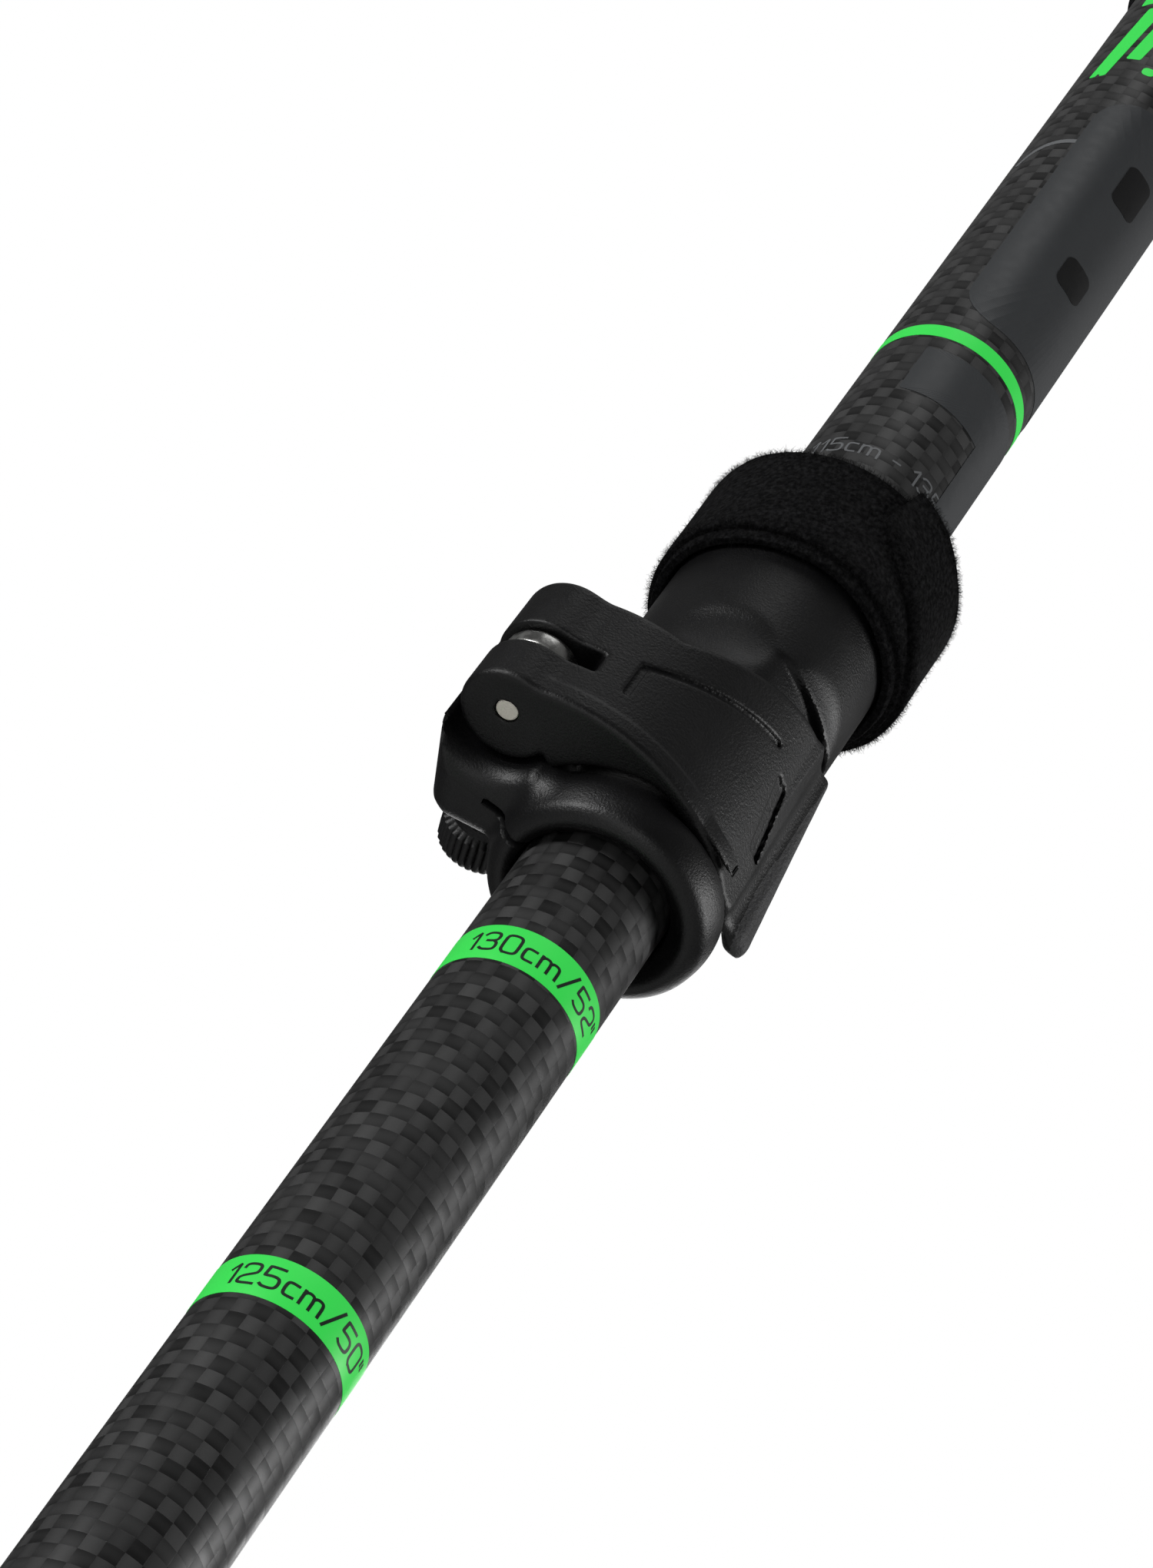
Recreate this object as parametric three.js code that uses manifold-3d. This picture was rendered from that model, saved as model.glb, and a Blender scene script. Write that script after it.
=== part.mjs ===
// Folding, length-adjustable ski-touring pole with a lever clamp, as an assembly of separate pieces.
// Millimetres. +Z runs up the shaft; the origin is on the shaft axis at the ground end of the tip.
// -Y is the face that carries the lever plate, -X is the side with the clamp ears, +Y is the nut side.
import * as THREE from 'three';
import { mergeVertices } from 'three/addons/utils/BufferGeometryUtils.js';
import Module from 'manifold-3d';

const wasm = await Module();
wasm.setup();

// ---- driving dimensions: shafts and folds ----
const TOP_Z = 1314; // crown of the grip, at the length drawn here
const FOLD1_Z = 720; // joint between middle and second section
const FOLD2_Z = 455; // joint between second and third section
const FOLD_GAP = 0.3; // air left between two ferrule faces
const SPIGOT_LEN = 10; // tapered plug that enters the section above
const UPPER_R = 9.1;
const UPPER_BORE = 8.4;
const UPPER_Z0 = 940;
const MIDDLE_R = 7.99;
const MIDDLE_BORE = 7.2;
const MIDDLE_TOP = 1024;
const SECOND_R = 7.0;
const SECOND_BORE = 6.3;
const THIRD_R = 6.5;
const THIRD_BORE = 5.8;

// ---- driving dimensions: lever clamp ----
const LOCK_Z0 = 904; // lower face of the clamp, where lengths are read
const SLEEVE_R = 12.3;
const SLEEVE_TOP = 966;
const NECK_R = 10.5; // thin wall under the lever
const CLAMP_BORE = 8.3;
const SHAFT_SEAT_R = 9.4;
const COLLAR = { x: 0.6, y: -0.6, r: 12.1 }; // the collar is set off a little towards the lever
const PIN = { x: -17.2, y: -10.2 };
const PIN_R = 1.2;
const BOLT_ANGLE = 11.5; // degrees that the bolt leans from +Y towards +X
const BOLT_Z = 917.2;
const LEVER_Z0 = 909.7;
const LEVER_HINGE_TOP = 926.3;
const LEVER_TAIL_TOP = 937;
const LEVER_ARC = { x: -7.4, y: 4.8, outer: 21.3, inner: 19.4 };
const BOSS = { x: -16.9, y: -9.75, r: 5.2 };
const CUP_R = 6.15; // hollow in the ear that the cam turns in
const NUT_SEAT = 14.4; // distance from the pin to the outer ear face, along the bolt
const NUT_LEN = 10.8;
const NUT_R = 4.7;

// ---- driving dimensions: grip end ----
const FOAM_Z0 = 1089;
const GRIP_Z0 = 1184.4;
const CAP_Z0 = 1290;
const STRAP_W = 20;
const STRAP_T = 1.8;
const STRAP_PIN = { y: -13, z: 1296.5 };

const deg = (a) => (a * Math.PI) / 180;
const around = (c, r, a) => [c.x + r * Math.cos(deg(a)), c.y + r * Math.sin(deg(a))];

// ---- shape helpers ----
// Any closed geometry as a solid, turned right side out.
function solid(geometry) {
  geometry.deleteAttribute('normal');
  geometry.deleteAttribute('uv');
  const g = mergeVertices(geometry, 1e-4);
  const verts = new Float32Array(g.attributes.position.array);
  const tris = new Uint32Array(g.index.array);
  let volume = 0;
  const corner = (i) => new THREE.Vector3(...verts.subarray(3 * tris[i], 3 * tris[i] + 3));
  for (let i = 0; i < tris.length; i += 3) {
    volume += corner(i).dot(corner(i + 1).cross(corner(i + 2)));
  }
  if (volume < 0) {
    for (let i = 0; i < tris.length; i += 3) [tris[i], tris[i + 1]] = [tris[i + 1], tris[i]];
  }
  return new wasm.Manifold(new wasm.Mesh({ numProp: 3, vertProperties: verts, triVerts: tris }));
}

// A turned piece: [radius, height] corners, open ones starting and ending on the axis, rings closed.
function turned(profile, segments = 36, ring = true) {
  const corners = profile.map(([r, z]) => new THREE.Vector2(r, z));
  if (ring) corners.push(corners[0].clone());
  return solid(new THREE.LatheGeometry(corners, segments).rotateX(Math.PI / 2));
}

const tube = (rOut, rIn, z0, z1, segments = 36) =>
  turned([[rIn, z0], [rOut, z0], [rOut, z1], [rIn, z1]], segments);

const rod = (r, z0, z1, segments = 24) =>
  turned([[0, z0], [r, z0], [r, z1], [0, z1]], segments, false);

// An outline in X and Y raised from z0 to z1.
function prism(outline, z0, z1) {
  const shape = new THREE.Shape(outline.map(([x, y]) => new THREE.Vector2(x, y)));
  const g = new THREE.ExtrudeGeometry(shape, { depth: z1 - z0, bevelEnabled: false });
  return solid(g.translate(0, 0, z0));
}

function box(x0, x1, y0, y1, z0, z1) {
  const g = new THREE.BoxGeometry(x1 - x0, y1 - y0, z1 - z0);
  return solid(g.translate((x0 + x1) / 2, (y0 + y1) / 2, (z0 + z1) / 2));
}

// Points on an arc about c, from angle a0 to a1 in degrees.
function arc(c, r, a0, a1, steps) {
  const points = [];
  for (let i = 0; i <= steps; i += 1) points.push(around(c, r, a0 + ((a1 - a0) * i) / steps));
  return points;
}

// Stands a Z-axis piece along the bolt: its z = 0 goes to the hinge pin.
function alongBolt(piece) {
  return piece.rotate([-90, 0, 0]).rotate([0, 0, -BOLT_ANGLE]).translate([PIN.x, PIN.y, BOLT_Z]);
}

// ---- shafts ----
const upperShaft = () => tube(UPPER_R, UPPER_BORE, UPPER_Z0, TOP_Z - 26);

function middleShaft() {
  const buttonHole = rod(2.6, -12, 0, 12).rotate([90, 0, 0]).translate([0, -12, FOLD1_Z + 11.5]);
  return tube(MIDDLE_R, MIDDLE_BORE, FOLD1_Z + 6.3, MIDDLE_TOP).subtract(buttonHole);
}

const secondShaft = () => tube(SECOND_R, SECOND_BORE, FOLD2_Z + 6.3, FOLD1_Z - 6);
const thirdShaft = () => tube(THIRD_R, THIRD_BORE, 72, FOLD2_Z - 6);

// Plastic plug on top of the middle shaft that guides it inside the upper shaft.
const guideBush = () => turned([
  [2.2, MIDDLE_TOP - 14], [6.9, MIDDLE_TOP - 14], [6.9, MIDDLE_TOP + 0.3], [8.15, MIDDLE_TOP + 0.3],
  [8.15, MIDDLE_TOP + 9], [7.4, MIDDLE_TOP + 11], [2.2, MIDDLE_TOP + 11],
], 32);

// ---- fold joints: a socket ferrule above, a spigot ferrule below ----
function socketFerrule(z, shaftR, outR, mouthR) {
  return turned([
    [mouthR, z], [outR - 0.6, z], [outR, z + 0.6], [outR, z + 16], [outR - 0.6, z + 17],
    [shaftR + 0.3, z + 17], [shaftR + 0.3, z + 6], [mouthR - 1.4, z + 6],
  ]);
}

function spigotFerrule(z, shaftR, outR, mouthR) {
  const top = z - FOLD_GAP;
  const root = mouthR - 0.5;
  return turned([
    [shaftR + 0.3, top - 16], [outR - 0.6, top - 16], [outR, top - 15], [outR, top - 0.6],
    [outR - 0.6, top], [root, top], [root - 2.5, top + SPIGOT_LEN], [2.0, top + SPIGOT_LEN],
    [2.0, top - 5.4], [shaftR + 0.3, top - 5.4],
  ]);
}

function ferrule1() {
  const hole = rod(2.6, -4, 4, 16).rotate([90, 0, 0]).translate([0, -9, FOLD1_Z + 11.5]);
  return socketFerrule(FOLD1_Z, MIDDLE_R, 9.3, 6.9).subtract(hole);
}

// Button that holds the cord tight, with the leaf spring riveted to its foot.
const snapButton = () => turned([
  [0, 6.0], [2.3, 6.0], [2.3, 10.3], [1.6, 11.0], [0, 11.0],
], 20, false).rotate([90, 0, 0]).translate([0, 0, FOLD1_Z + 11.5]);
const leafSpring = () => box(-1.8, 1.8, -5.7, -5.2, FOLD1_Z + SPIGOT_LEN + 0.3, FOLD1_Z + 42);

// ---- tension cord and its hardware ----
const cordAnchor = () => tube(6.8, 2.0, MIDDLE_TOP - 90, MIDDLE_TOP - 80, 24);
function tensionSpring() {
  const turns = 11;
  const z0 = MIDDLE_TOP - 78;
  const helix = new THREE.CatmullRomCurve3(Array.from({ length: turns * 8 + 1 }, (_, i) => {
    const a = deg(45 * i);
    return new THREE.Vector3(4.6 * Math.cos(a), 4.6 * Math.sin(a), z0 + (50 * i) / (turns * 8));
  }));
  const wire = new THREE.Shape(arc({ x: 0, y: 0 }, 0.7, 0, 300, 5).map((p) => new THREE.Vector2(...p)));
  return solid(new THREE.ExtrudeGeometry(wire, { steps: turns * 8, extrudePath: helix }));
}
// The cord above a fold, from just over the spigot's nose.
const cordStretch = (foldZ) => rod(1.25, foldZ + SPIGOT_LEN + 0.5, foldZ + 95, 8);

// ---- lever clamp ----
function collar() {
  return turned([
    [0, LOCK_Z0 + 2], [8, LOCK_Z0 + 2], [9.8, LOCK_Z0], [11, LOCK_Z0 + 0.6], [11.8, LOCK_Z0 + 2],
    [COLLAR.r, LOCK_Z0 + 3.6], [11.8, LOCK_Z0 + 5.6], [10.9, LOCK_Z0 + 7.2], [10.2, LOCK_Z0 + 8],
    [0, LOCK_Z0 + 8],
  ], 40, false).translate([COLLAR.x, COLLAR.y, 0]);
}

// A point on the outer ear face, at a distance s from the bolt, towards the shaft.
function onEarFace(s) {
  const [along, across] = [Math.sin(deg(BOLT_ANGLE)), Math.cos(deg(BOLT_ANGLE))];
  return [PIN.x + NUT_SEAT * along + s * across, PIN.y + NUT_SEAT * across - s * along];
}

// Both ears as one block, before the slit parts them.
function earBlock() {
  const cup = arc(PIN, CUP_R, 148, 28, 10);
  return prism([[-8, 4.2], onEarFace(5.2), onEarFace(-3), [-18.9, 3.3], ...cup, [-9, -8]],
    LOCK_Z0 + 2.6, LEVER_HINGE_TOP - 0.6);
}

// Space that the closed lever lies in, cut from the sleeve.
function leverRecess() {
  const outer = arc(LEVER_ARC, 27, -80, 15, 8);
  const inner = arc(LEVER_ARC, LEVER_ARC.inner - 0.35, 15, -80, 16);
  return prism([...outer, ...inner], LEVER_Z0 - 0.4, LEVER_TAIL_TOP + 0.5);
}

function lockBody() {
  const sleeve = turned([
    [0, LEVER_HINGE_TOP + 0.5], [SLEEVE_R, LEVER_HINGE_TOP + 0.5], [SLEEVE_R, SLEEVE_TOP - 1],
    [SLEEVE_R - 1, SLEEVE_TOP], [0, SLEEVE_TOP],
  ], 40, false);
  const bore = turned([
    [0, LOCK_Z0 - 1], [9.4, LOCK_Z0 - 1], [CLAMP_BORE, LOCK_Z0 + 2], [CLAMP_BORE, UPPER_Z0 - 0.3],
    [SHAFT_SEAT_R, UPPER_Z0 - 0.3], [SHAFT_SEAT_R, SLEEVE_TOP + 1], [0, SLEEVE_TOP + 1],
  ], 40, false);
  const boltHole = alongBolt(rod(2.3, 3, 20, 16));
  const slit = box(-26, -6, -2.1, -1.4, LOCK_Z0 - 2, LEVER_HINGE_TOP + 3);
  const cup = rod(CUP_R, LEVER_Z0 - 0.4, LEVER_HINGE_TOP + 1, 40).translate([PIN.x, PIN.y, 0]);
  return sleeve.add(rod(NECK_R, LOCK_Z0 + 3, LEVER_HINGE_TOP + 1, 40)).add(collar()).add(earBlock())
    .subtract(leverRecess()).subtract(bore).subtract(boltHole).subtract(slit).subtract(cup);
}

function leverPlate() {
  const outer = arc(LEVER_ARC, LEVER_ARC.outer, -125, -31, 16);
  const lip = [[13.4, -3.4], [15.9, -0.9], [15.5, 0.4], [14.2, 0.3], [12.6, -1.6]];
  const inner = arc(LEVER_ARC, LEVER_ARC.inner, -22, -80, 10);
  const root = [[-8.9, -12.6], [-12.2, -9.9], [-14.4, -7.5]];
  return prism([...outer, ...lip, ...inner, ...root], LEVER_Z0, LEVER_TAIL_TOP);
}

// Everything above the lever's sloping top edge.
function aboveLever() {
  const side = [[-30, LEVER_HINGE_TOP], [-7, LEVER_HINGE_TOP], [13, LEVER_TAIL_TOP],
    [20, LEVER_TAIL_TOP], [20, LEVER_TAIL_TOP + 5], [-30, LEVER_TAIL_TOP + 5]];
  return prism(side, -40, 40).rotate([90, 0, 0]);
}

function lever() {
  const boss = rod(BOSS.r, LEVER_Z0, LEVER_HINGE_TOP, 28).translate([BOSS.x, BOSS.y, 0]);
  const slot = box(-26, -12.2, -22, 4, BOLT_Z - 1.55, BOLT_Z + 1.55);
  const pinHole = rod(PIN_R + 0.12, LEVER_Z0 - 1, LEVER_HINGE_TOP + 1, 20).translate([PIN.x, PIN.y, 0]);
  return leverPlate().add(boss).subtract(slot).subtract(pinHole).subtract(aboveLever());
}

const hingePin = () => rod(PIN_R, LEVER_Z0 + 0.2, LEVER_HINGE_TOP - 0.2, 16).translate([PIN.x, PIN.y, 0]);

function eyeBolt() {
  const eye = rod(4.6, -1.3, 1.3, 28).translate([PIN.x, PIN.y, BOLT_Z]);
  const hole = rod(PIN_R + 0.12, -3, 3, 16).translate([PIN.x, PIN.y, BOLT_Z]);
  const neck = alongBolt(box(-1.8, 1.8, -1.3, 1.3, 4, 8.5));
  const shank = alongBolt(rod(1.9, 8, NUT_SEAT + NUT_LEN, 16));
  return eye.subtract(hole).add(neck).add(shank);
}

const washer = () => alongBolt(tube(4.2, 2.2, NUT_SEAT + 0.3, NUT_SEAT + 0.9, 24));
const nutInsert = () => alongBolt(tube(3.1, 2.05, NUT_SEAT + 1.4, NUT_SEAT + NUT_LEN - 1.2, 20));

// Thumb nut: two knurled rims with a groove between them.
function thumbNut() {
  const z0 = NUT_SEAT + 1.2;
  const z1 = NUT_SEAT + NUT_LEN;
  const mid = (z0 + z1) / 2;
  return alongBolt(turned([
    [3.4, z0], [NUT_R - 0.5, z0], [NUT_R, z0 + 0.5], [NUT_R, mid - 0.8], [NUT_R - 0.8, mid - 0.3],
    [NUT_R - 0.8, mid + 0.3], [NUT_R, mid + 0.8], [NUT_R, z1 - 0.5], [NUT_R - 0.5, z1], [3.4, z1],
  ], 30));
}

// ---- hook-and-loop tie that bundles the folded sections ----
function tieStrap() {
  const band = tube(14.3, 12.75, 950.7, 966.3, 32);
  const tail = prism([...arc({ x: 0, y: 0 }, 15.0, -78, 6, 12), ...arc({ x: 0, y: 0 }, 14.1, 6, -78, 12)],
    955.5, 966);
  return band.add(tail);
}

// ---- grip ----
const oval = (piece, sy, dy = 0) => piece.scale([1, sy, 1]).translate([0, dy, 0]);
const gripBore = () => rod(UPPER_R + 0.35, FOAM_Z0 - 5, TOP_Z - 25, 32);

function gripExtension() {
  const profile = [[0, FOAM_Z0], [13.2, FOAM_Z0], [14.2, FOAM_Z0 + 2]];
  for (let z = FOAM_Z0 + 8; z < GRIP_Z0 - 6; z += 12) profile.push([14.8, z], [14.2, z + 6]);
  profile.push([14.2, GRIP_Z0 - 0.4], [0, GRIP_Z0 - 0.4]);
  return turned(profile, 32, false).subtract(gripBore());
}

function gripBody() {
  const z = GRIP_Z0;
  const body = turned([
    [0, z], [14.6, z], [15.6, z + 3], [15.4, z + 10], [13.6, z + 22], [14.0, z + 34], [13.4, z + 46],
    [14.0, z + 58], [13.6, z + 70], [14.6, z + 84], [16.6, z + 96], [17.6, z + 105.2], [0, z + 105.2],
  ], 36, false);
  return oval(body, 1.2, -1).subtract(gripBore());
}

// Domed head of the grip, with the slot that takes the strap and its wedge.
function gripCap() {
  const z = CAP_Z0;
  const dome = oval(turned([
    [0, z], [17.6, z], [19.2, z + 5], [19.6, z + 11], [17.8, z + 17], [13.5, z + 21.5],
    [7, z + 23.6], [0, TOP_Z],
  ], 36, false), 1.25, -2);
  const strapSlot = box(-11, 11, -30, -8.5, z + 1.6, z + 15.5);
  const wedgeWell = box(-10.5, 10.5, -16.5, -8.5, z + 8, TOP_Z + 2);
  const pinHole = rod(1.75, -22, 22, 16).rotate([0, 90, 0]).translate([0, STRAP_PIN.y, STRAP_PIN.z]);
  return dome.subtract(strapSlot).subtract(wedgeWell).subtract(pinHole);
}

// Wedge pushed down into the head to jam the strap; it lifts to let the strap slide.
const strapWedge = () => box(-10, 10, -16, -9, CAP_Z0 + 11.5, TOP_Z - 1.5);
const strapPin = () => rod(1.5, -17, 17, 16).rotate([0, 90, 0]).translate([0, STRAP_PIN.y, STRAP_PIN.z]);

// A flat ribbon of the strap's width that follows [y, z] points.
function ribbon(points, steps) {
  const route = new THREE.CatmullRomCurve3(points.map(([y, z]) => new THREE.Vector3(y, z, 0)));
  const edge = (side) => Array.from({ length: steps + 1 }, (_, i) => {
    const p = route.getPointAt(i / steps);
    const t = route.getTangentAt(i / steps);
    return [p.x + side * t.y, p.y - side * t.x];
  });
  const outline = [...edge(-STRAP_T / 2), ...edge(STRAP_T / 2).reverse()];
  return prism(outline, -STRAP_W / 2, STRAP_W / 2).rotate([90, 0, 0]).rotate([0, 0, 90]);
}

// The part of the strap inside the head, folded round the pin.
const strapRoot = () => ribbon([
  [-26.1, STRAP_PIN.z + 2.8], [-18, STRAP_PIN.z + 2.9],
  ...arc({ x: STRAP_PIN.y, y: STRAP_PIN.z }, 2.8, 90, -90, 6),
  [-18, STRAP_PIN.z - 2.9], [-26.1, STRAP_PIN.z - 2.8],
], 24);

// The loop outside the head, wide enough for a gloved hand.
const wristStrap = () => ribbon([
  [-27.9, 1299.3], [-35, 1293], [-44, 1262], [-56, 1206], [-69, 1146], [-76, 1100], [-70, 1076],
  [-54, 1068], [-38, 1076], [-30, 1104], [-27.5, 1150], [-27, 1200], [-27.5, 1250], [-29, 1282],
  [-29.2, 1290], [-27.9, 1293.2],
], 48);

// ---- tip end ----
const tipHolder = () => turned([
  [2.7, 20], [4.6, 20], [5.4, 22], [7.2, 52], [7.2, 69], [8.0, 72], [8.0, 110], [7.4, 112],
  [THIRD_R + 0.3, 112], [THIRD_R + 0.3, 71], [2.7, 71],
], 32);

const carbideTip = () => turned([
  [0, 0], [1.7, 0], [2.3, 1.5], [2.3, 9], [3.9, 11], [3.9, 19.6], [2.4, 19.6], [2.4, 46], [0, 46],
], 24, false);

const basketNut = () => tube(10.2, 7.5, 53, 57.5, 24);

function basket() {
  let dish = turned([
    [7.7, 58], [11, 58], [13, 60.5], [40, 55.2], [42, 55.6], [42.3, 57.4], [40.5, 58.2],
    [14, 63.4], [11, 68.5], [7.7, 68.5],
  ], 40);
  for (let i = 0; i < 6; i += 1) {
    const window = prism(arc({ x: 0, y: 0 }, 36, -21, 21, 5).concat(arc({ x: 0, y: 0 }, 18, 12, -12, 2)), 50, 70);
    dish = dish.subtract(window.rotate([0, 0, 60 * i + 30]));
  }
  return dish;
}

// ---- materials ----
const finish = (color, roughness, metalness = 0) => new THREE.MeshStandardMaterial({ color, roughness, metalness });
const looks = {
  carbon: () => finish(0x1c1c1d, 0.4),
  nylon: () => finish(0x0c0c0d, 0.45),
  steel: () => finish(0xc9ccd0, 0.25, 1),
  brass: () => finish(0xb08d4a, 0.35, 1),
  aluminium: () => finish(0x8d9094, 0.4, 1),
  anodised: () => finish(0x2f3133, 0.4, 1),
  foam: () => finish(0x151516, 0.95),
  rubber: () => finish(0x121213, 0.75),
  webbing: () => finish(0x161617, 0.9),
  loopFabric: () => finish(0x08080a, 1),
  cord: () => finish(0x2fae4e, 0.8),
  carbide: () => finish(0x5a5c5f, 0.35, 1),
};

// ---- assembly ----
const pieces = {
  upper_shaft: [upperShaft, looks.carbon],
  lock_body: [lockBody, looks.nylon],
  lever: [lever, looks.nylon],
  hinge_pin: [hingePin, looks.steel],
  eye_bolt: [eyeBolt, looks.steel],
  ear_washer: [washer, looks.steel],
  thumb_nut: [thumbNut, looks.nylon],
  nut_insert: [nutInsert, looks.brass],
  tie_strap: [tieStrap, looks.loopFabric],
  grip_extension: [gripExtension, looks.foam],
  grip_body: [gripBody, looks.rubber],
  grip_cap: [gripCap, looks.nylon],
  strap_wedge: [strapWedge, looks.nylon],
  strap_pin: [strapPin, looks.steel],
  strap_root: [strapRoot, looks.webbing],
  wrist_strap: [wristStrap, looks.webbing],
  middle_shaft: [middleShaft, looks.carbon],
  guide_bush: [guideBush, looks.nylon],
  cord_anchor: [cordAnchor, looks.aluminium],
  tension_spring: [tensionSpring, looks.steel],
  ferrule_1: [ferrule1, looks.anodised],
  snap_button: [snapButton, looks.aluminium],
  leaf_spring: [leafSpring, looks.steel],
  cord_1: [() => cordStretch(FOLD1_Z), looks.cord],
  spigot_1: [() => spigotFerrule(FOLD1_Z, SECOND_R, 8.9, 6.9), looks.anodised],
  second_shaft: [secondShaft, looks.carbon],
  ferrule_2: [() => socketFerrule(FOLD2_Z, SECOND_R, 8.4, 6.6), looks.anodised],
  cord_2: [() => cordStretch(FOLD2_Z), looks.cord],
  spigot_2: [() => spigotFerrule(FOLD2_Z, THIRD_R, 8.1, 6.6), looks.anodised],
  third_shaft: [thirdShaft, looks.carbon],
  tip_holder: [tipHolder, looks.nylon],
  basket: [basket, looks.nylon],
  basket_nut: [basketNut, looks.nylon],
  carbide_tip: [carbideTip, looks.carbide],
};

const group = new THREE.Group();
for (const [name, [shape, look]] of Object.entries(pieces)) {
  const mesh = shape().getMesh();
  const geometry = new THREE.BufferGeometry();
  geometry.setAttribute('position', new THREE.BufferAttribute(mesh.vertProperties, 3));
  geometry.setIndex(new THREE.BufferAttribute(mesh.triVerts, 1));
  const node = new THREE.Mesh(geometry, look());
  node.name = name;
  group.add(node);
}

export default group;
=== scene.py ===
# %% [markdown]
# # A folding ski pole with a lever clamp
# The pole is a carbon tube that slides in a wider carbon tube, held by a moulded lever clamp. The
# lower half folds in three, on a cord. The CAD model gives every place and size, so this script only
# makes the looks: each piece here is a fine surface laid exactly where its CAD solid is.

# %% Open the frame
import math
import bmesh
import bpy
import numpy as np
from mathutils import Matrix, Vector


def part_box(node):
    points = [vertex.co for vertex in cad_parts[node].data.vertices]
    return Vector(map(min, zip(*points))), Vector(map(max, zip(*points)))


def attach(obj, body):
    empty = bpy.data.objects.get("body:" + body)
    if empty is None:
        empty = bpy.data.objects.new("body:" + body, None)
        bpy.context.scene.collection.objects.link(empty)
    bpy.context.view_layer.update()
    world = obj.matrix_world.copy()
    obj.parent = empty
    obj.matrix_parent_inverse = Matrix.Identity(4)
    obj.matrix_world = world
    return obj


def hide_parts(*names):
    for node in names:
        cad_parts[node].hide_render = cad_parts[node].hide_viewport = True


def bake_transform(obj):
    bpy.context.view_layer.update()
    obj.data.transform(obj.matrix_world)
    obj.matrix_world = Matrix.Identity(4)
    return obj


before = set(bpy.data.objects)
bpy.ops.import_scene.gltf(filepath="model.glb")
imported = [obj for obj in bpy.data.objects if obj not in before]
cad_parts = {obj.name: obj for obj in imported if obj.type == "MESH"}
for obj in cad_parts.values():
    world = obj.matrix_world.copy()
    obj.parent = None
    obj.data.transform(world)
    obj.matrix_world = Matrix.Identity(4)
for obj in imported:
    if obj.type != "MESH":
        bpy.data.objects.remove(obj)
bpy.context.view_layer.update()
MM = 0.001

# %% [markdown]
# ## Camera, light and floor
# A black object is shown by its pale edges, and broad soft lamps draw them. Room and floor are
# bright only for the camera: as a light, a white room would wash the blacks out. The camera could
# be aimed with a constraint, but three plain directions are easier to read: where it looks, which
# way is up, and the cross product of the two.

# %% Camera
eye = Vector((0, -0.37385, 0.53604))
ahead = Vector((-0.01444, 0.69979, 0.71420)).normalized()
sky = Vector((-0.57801, -0.58869, 0.56512))
right = ahead.cross(sky).normalized()
sky = right.cross(ahead)
camera_data = bpy.data.cameras.new("pole_camera")
camera_data.lens = 123.08
camera_data.sensor_width = 36
camera_data.clip_start = 0.01
camera = bpy.data.objects.new("pole_camera", camera_data)
camera.matrix_world = Matrix([[right[i], sky[i], -ahead[i], eye[i]] for i in range(3)] + [[0, 0, 0, 1]])
bpy.context.scene.collection.objects.link(camera)
bpy.context.scene.camera = camera
bpy.context.scene.view_settings.view_transform = "Standard"
print("camera at", [round(v, 3) for v in eye])

# %% Floor and room
floor_mesh = bpy.data.meshes.new("floor")
floor_mesh.from_pydata([(-4, -4, -0.001), (4, -4, -0.001), (4, 4, -0.001), (-4, 4, -0.001)], [],
                       [(0, 1, 2, 3)])
floor = bpy.data.objects.new("floor", floor_mesh)
bpy.context.scene.collection.objects.link(floor)
floor_paint = bpy.data.materials.new("floor_paint")
floor_paint.use_nodes = True
paper = floor_paint.node_tree.nodes["Principled BSDF"]
paper.inputs["Base Color"].default_value = (0.82, 0.82, 0.82, 1)
paper.inputs["Roughness"].default_value = 0.9
paper.inputs["Emission Color"].default_value = (0.42, 0.42, 0.42, 1)
floor_seen = floor_paint.node_tree.nodes.new("ShaderNodeLightPath")
floor_paint.node_tree.links.new(floor_seen.outputs["Is Camera Ray"], paper.inputs["Emission Strength"])
floor_mesh.materials.append(floor_paint)

ROOM_LIGHT = 0.07
room = bpy.data.worlds.new("white_room")
room.use_nodes = True
tree = room.node_tree
seen = tree.nodes["Background"]
seen.inputs["Color"].default_value = (1, 1, 1, 1)
seen.inputs["Strength"].default_value = 1.0
felt = tree.nodes.new("ShaderNodeBackground")
felt.inputs["Color"].default_value = (1, 1, 1, 1)
felt.inputs["Strength"].default_value = ROOM_LIGHT
ray_kind = tree.nodes.new("ShaderNodeLightPath")
choice = tree.nodes.new("ShaderNodeMixShader")
tree.links.new(ray_kind.outputs["Is Camera Ray"], choice.inputs[0])
tree.links.new(felt.outputs[0], choice.inputs[1])
tree.links.new(seen.outputs[0], choice.inputs[2])
tree.links.new(choice.outputs[0], tree.nodes["World Output"].inputs["Surface"])
bpy.context.scene.world = room


# %% Lamps
def soft_lamp(name, toward, distance, width, watts, centre=(0, 0, 0.93)):
    """A square area lamp: its place is centre + distance * toward, and it faces the centre."""
    data = bpy.data.lights.new(name, "AREA")
    data.shape = "SQUARE"
    data.size = width
    data.energy = watts
    direction = Vector(toward).normalized()
    lamp = bpy.data.objects.new(name, data)
    lamp.location = Vector(centre) + direction * distance
    lamp.rotation_euler = direction.to_track_quat("Z", "Y").to_euler()
    bpy.context.scene.collection.objects.link(lamp)
    return lamp


soft_lamp("key_lamp", (-0.86, -0.50, 0.0), 1.0, 0.35, 6)
soft_lamp("rim_lamp", (0.95, -0.10, 0.30), 1.1, 0.5, 6.5)
soft_lamp("top_lamp", (-0.2, -0.45, 0.9), 1.3, 0.6, 1.2)
soft_lamp("back_lamp", (0.3, 1.0, 0.4), 1.6, 1.0, 7)
soft_lamp("low_lamp", (-0.3, -1.0, -0.9), 1.1, 0.5, 1.2)
soft_lamp("ceiling_lamp", (0.05, 0.1, 1.0), 3.4, 4.5, 9)

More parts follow.
